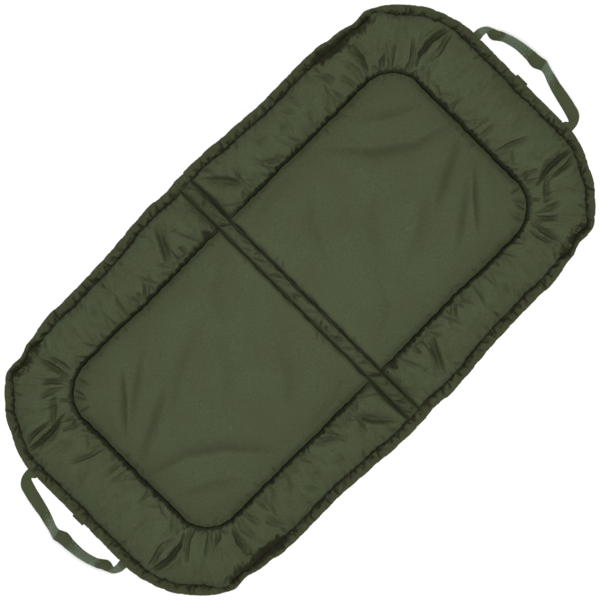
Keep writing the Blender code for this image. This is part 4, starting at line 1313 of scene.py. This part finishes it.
handleGrid, handleUv, handleHighlight = handleSurface()
handleShare = abs(np.linspace(-1, 1, handle["columns"]))[None, :, None]
handleHalf = handle["thickness"] / 2 * np.sqrt(np.clip(1.02 - handleShare**8, 0.05, 1))
handleHalf = upNormals(handleGrid) * handleHalf  # thinner towards its two edges
handlePoints, handleFaces = clothBody(handleGrid + handleHalf, handleGrid - handleHalf)
handlePoints[:, 2] = np.maximum(handlePoints[:, 2], handle["lowest"])
handleUvs = np.vstack((handleUv.reshape(-1, 2), handleUv.reshape(-1, 2)))
handlePieces = onBothHalves("handle_webbing", handlePoints, handleFaces, webbing, None,
    ["handle"], {"paintedHighlight": twice(handleHighlight)}, uv=handleUvs)
for piece, sign in zip(handlePieces, (1, -1)):  # each handle's placing is baked into its points
    side = piece.name.split("_")[0]
    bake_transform(piece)

edgeTab = {
    "width": 0.025, "place": -0.0025, "reach": 0.0034, "thickness": 0.0004,
    "start": 0.5514, "middle": 0.0022, "round": 0.0012,
}


def tabSurface():
    turn = np.linspace(-math.pi / 2, math.pi / 2, 11)
    nose = mat["halfLength"] + edgeTab["reach"] - edgeTab["round"]
    profile = [(edgeTab["start"], -edgeTab["round"])]
    profile += [(nose + edgeTab["round"] * math.cos(a), edgeTab["round"] * math.sin(a))
        for a in turn]
    profile += [(edgeTab["start"], edgeTab["round"])]
    profile = stepped(np.array(profile), 22)
    y = edgeTab["place"] + np.linspace(-edgeTab["width"] / 2, edgeTab["width"] / 2, 26)
    wave = lineNoise(y, 61, 0.02, 5) * 0.00025
    x = profile[None, :, 0] + wave[:, None] * (profile[None, :, 0] > nose - 0.001)
    z = edgeTab["middle"] + profile[None, :, 1] + np.zeros_like(x)
    return np.dstack((x, np.broadcast_to(y[:, None], x.shape), z))


tabGrid = tabSurface()
tabNormal = gridNormals(tabGrid)
tabNormal *= np.sign(tabNormal[13, 11, 0])
tabPoints, tabFaces = clothBody(tabGrid, tabGrid - tabNormal * edgeTab["thickness"])
onBothHalves("folded_tab", tabPoints, tabFaces, tapeCloth, "half", ["edge_tab"],
    {"paintedShade": np.full(len(tabPoints), 0.1)})
print("handles and tabs made")


# stitching, laid along lines by Geometry Nodes
stitch = {
    "pitch": 0.0042, "length": 0.0029, "thread": 0.00042, "rise": 0.0002,
    "inStrip": 0.0094, "box": (0.5355, 0.5490), "besideTab": (0.5345, 0.5510),
}


def stitchTree():
    # a curve in, small rounded stitches along it out
    tree = bpy.data.node_groups.new("stitchesAlongSeam", "GeometryNodeTree")
    face = tree.interface
    face.new_socket("Geometry", in_out="INPUT", socket_type="NodeSocketGeometry")
    for label in ("Pitch", "Stitch Length", "Thread Radius"):
        face.new_socket(label, in_out="INPUT", socket_type="NodeSocketFloat")
    face.new_socket("Thread", in_out="INPUT", socket_type="NodeSocketMaterial")
    face.new_socket("Geometry", in_out="OUTPUT", socket_type="NodeSocketGeometry")
    given = addNode(tree, "NodeGroupInput").outputs
    points = addNode(tree, "GeometryNodeCurveToPoints", {"mode": "LENGTH"}, None,
        {"Curve": given["Geometry"], "Length": given["Pitch"]})
    halfLength = addNode(tree, "ShaderNodeMath", {"operation": "MULTIPLY"}, {1: 0.5},
        {0: given["Stitch Length"]})
    sphere = addNode(tree, "GeometryNodeMeshUVSphere", None,
        {"Segments": 6, "Rings": 4, "Radius": 1.0})
    scale = addNode(tree, "ShaderNodeCombineXYZ", None, None,
        {"X": given["Thread Radius"], "Y": given["Thread Radius"],
         "Z": halfLength.outputs["Value"]})
    laid = addNode(tree, "GeometryNodeInstanceOnPoints", None, None,
        {"Points": points.outputs["Points"], "Instance": sphere.outputs["Mesh"],
         "Rotation": points.outputs["Rotation"], "Scale": scale.outputs["Vector"]})
    real = addNode(tree, "GeometryNodeRealizeInstances", None, None,
        {"Geometry": laid.outputs["Instances"]})
    coated = addNode(tree, "GeometryNodeSetMaterial", None, None,
        {"Geometry": real.outputs["Geometry"], "Material": given["Thread"]})
    addNode(tree, "NodeGroupOutput", None, None, {"Geometry": coated.outputs["Geometry"]})
    return tree


stitchNodes = stitchTree()


def sewLines(name, lines, body, turned=False):
    curve = bpy.data.curves.new(name + "_lines", "CURVE")
    curve.dimensions = "3D"
    for line in lines:
        line = np.asarray(line, float) * ([-1, -1, 1] if turned else [1, 1, 1])
        spline = curve.splines.new("POLY")
        spline.points.add(len(line) - 1)
        spline.points.foreach_set("co", np.column_stack((line, np.ones(len(line)))).ravel())
    holder = addObject(name + "_holder", curve)
    modifier = holder.modifiers.new("stitches", "NODES")
    modifier.node_group = stitchNodes
    given = {"Pitch": stitch["pitch"], "Stitch Length": stitch["length"],
             "Thread Radius": stitch["thread"], "Thread": thread}
    for item in stitchNodes.interface.items_tree:
        if item.in_out == "INPUT" and item.name in given:
            modifier[item.identifier] = given[item.name]
    holder.data.update_tag()
    seen = holder.evaluated_get(bpy.context.evaluated_depsgraph_get())
    mesh = bpy.data.meshes.new_from_object(seen)
    bpy.data.objects.remove(holder)
    mesh.materials.clear()
    mesh.materials.append(thread)
    mesh.name = name
    mesh.shade_smooth()
    piece = addObject(name, mesh)
    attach(piece, body)


def onTape(x, y):  # the tape's height over a point of the margin
    flat = tapeGrid[:, :12].reshape(-1, 3)
    near = ((flat[:, 0] - x) ** 2 + (flat[:, 1] - y) ** 2).argmin()
    return flat[near, 2]


def stripTop(x, y):
    row = abs(stripGrid[:, 0, 1] - y).argmin()
    return np.interp(x, stripGrid[row, :, 0], stripGrid[row, :, 2])


seamLine = tapeGrid[::2, 4] + [0, 0, stitch["rise"] / 2]
halfLines = [seamLine]
for low in (-0.126, 0.101):  # the handle's sewn ends: a box with a cross on the margin
    x0, x1 = stitch["box"]
    y0, y1 = low + 0.002, low + 0.023
    corners = ((x0, y0), (x1, y0), (x1, y1), (x0, y1))
    for first, last in ((0, 1), (1, 2), (2, 3), (3, 0), (0, 2), (3, 1)):
        spots = np.linspace(corners[first], corners[last], 12)
        halfLines.append([(x, y, onTape(x, y) + stitch["rise"]) for x, y in spots])
for y in (-0.020, 0.018):  # each side of the tab
    spots = np.linspace(*stitch["besideTab"], 12)
    halfLines.append([(x, y, onTape(x, y) + stitch["rise"]) for x in spots])
for side, turned in (("right", False), ("left", True)):
    sewLines(side + "_half_stitches", halfLines, side + "_half", turned)
stripLines = [
    [(x, y, stripTop(x, y) + stitch["rise"] / 2) for y in np.linspace(-0.283, 0.283, 260)]
    for x in (-stitch["inStrip"], stitch["inStrip"])
]
sewLines("fold_strip_stitches", stripLines, "fold_strip")
print("stitched")


# camera, light and floor
shot = {"lens": 120.0, "width": 1.0594, "turn": -45.0, "level": 0.02}
camera = addObject("camera", bpy.data.cameras.new("camera"))
camera.data.type = "PERSP"
camera.data.lens = shot["lens"]
camera.data.sensor_width = 36.0
camera.location = (0, 0, shot["level"] + shot["width"] / 2 / (18.0 / shot["lens"]))
camera.rotation_euler = (0, 0, math.radians(shot["turn"]))
bpy.context.scene.camera = camera

lamp = addObject("overhead_softbox", bpy.data.lights.new("overhead_softbox", "AREA"))
lamp.data.shape = "SQUARE"
lamp.data.size = 1.5
lamp.data.energy = 52
lamp.location = (0, 0, 2.6)

sky = bpy.data.worlds.new("studio")
sky.use_nodes = True
skyInputs = sky.node_tree.nodes["Background"].inputs
skyInputs["Color"].default_value = (1, 1, 1, 1)
skyRays = addNode(sky.node_tree, "ShaderNodeLightPath")
skyLevel = addNode(sky.node_tree, "ShaderNodeMapRange", None, {"To Min": 0.30, "To Max": 1.0},
    {"Value": skyRays.outputs["Is Camera Ray"]})
sky.node_tree.links.new(skyLevel.outputs["Result"], skyInputs["Strength"])
bpy.context.scene.world = sky

floorMaterial, tree = emptyMaterial("matt_white_floor")
dust = addNode(tree, "ShaderNodeTexNoise", None, {"Scale": 3.0})
pale = twoTones(tree, "#F4F4F2", "#F8F8F7", dust.outputs["Fac"])
plain = addNode(tree, "ShaderNodeBsdfDiffuse", None, None, {"Color": pale})
rays = addNode(tree, "ShaderNodeLightPath")
seenRays = addNode(tree, "ShaderNodeMath", {"operation": "MAXIMUM"}, None,
    {0: rays.outputs["Is Camera Ray"], 1: rays.outputs["Is Glossy Ray"]})
seenToo = addNode(tree, "ShaderNodeMath", {"operation": "MAXIMUM"}, None,
    {0: seenRays.outputs["Value"], 1: rays.outputs["Is Transmission Ray"]})
place = addNode(tree, "ShaderNodeTexCoord")
away = addNode(tree, "ShaderNodeVectorMath", {"operation": "LENGTH"}, None,
    {0: place.outputs["Object"]})
fading = addNode(tree, "ShaderNodeMapRange", None,
    {"From Min": 1.0, "From Max": 5.0, "To Min": 0.25, "To Max": 0.80},
    {"Value": away.outputs["Value"]})
gleam = addNode(tree, "ShaderNodeMath", {"operation": "MULTIPLY"}, None,
    {0: seenToo.outputs["Value"], 1: fading.outputs["Result"]})
lit = addNode(tree, "ShaderNodeEmission", None, {"Color": (1, 1, 1, 1)},
    {"Strength": gleam.outputs["Value"]})
total = addNode(tree, "ShaderNodeAddShader", None, None,
    {0: plain.outputs["BSDF"], 1: lit.outputs["Emission"]})
addNode(tree, "ShaderNodeOutputMaterial", None, None, {"Surface": total.outputs["Shader"]})

spots = np.linspace(-1, 1, 3) * 12
floorGrid = np.dstack(np.broadcast_arrays(spots[:, None], spots[None, :], -0.0002))
floorMesh = bpy.data.meshes.new("studio_floor")
floorMesh.from_pydata(floorGrid.reshape(-1, 3).tolist(), [], gridFaces(3, 3).tolist())
floorMesh.materials.append(floorMaterial)
addObject("studio_floor", floorMesh)
bpy.context.scene.view_settings.view_transform = "Standard"
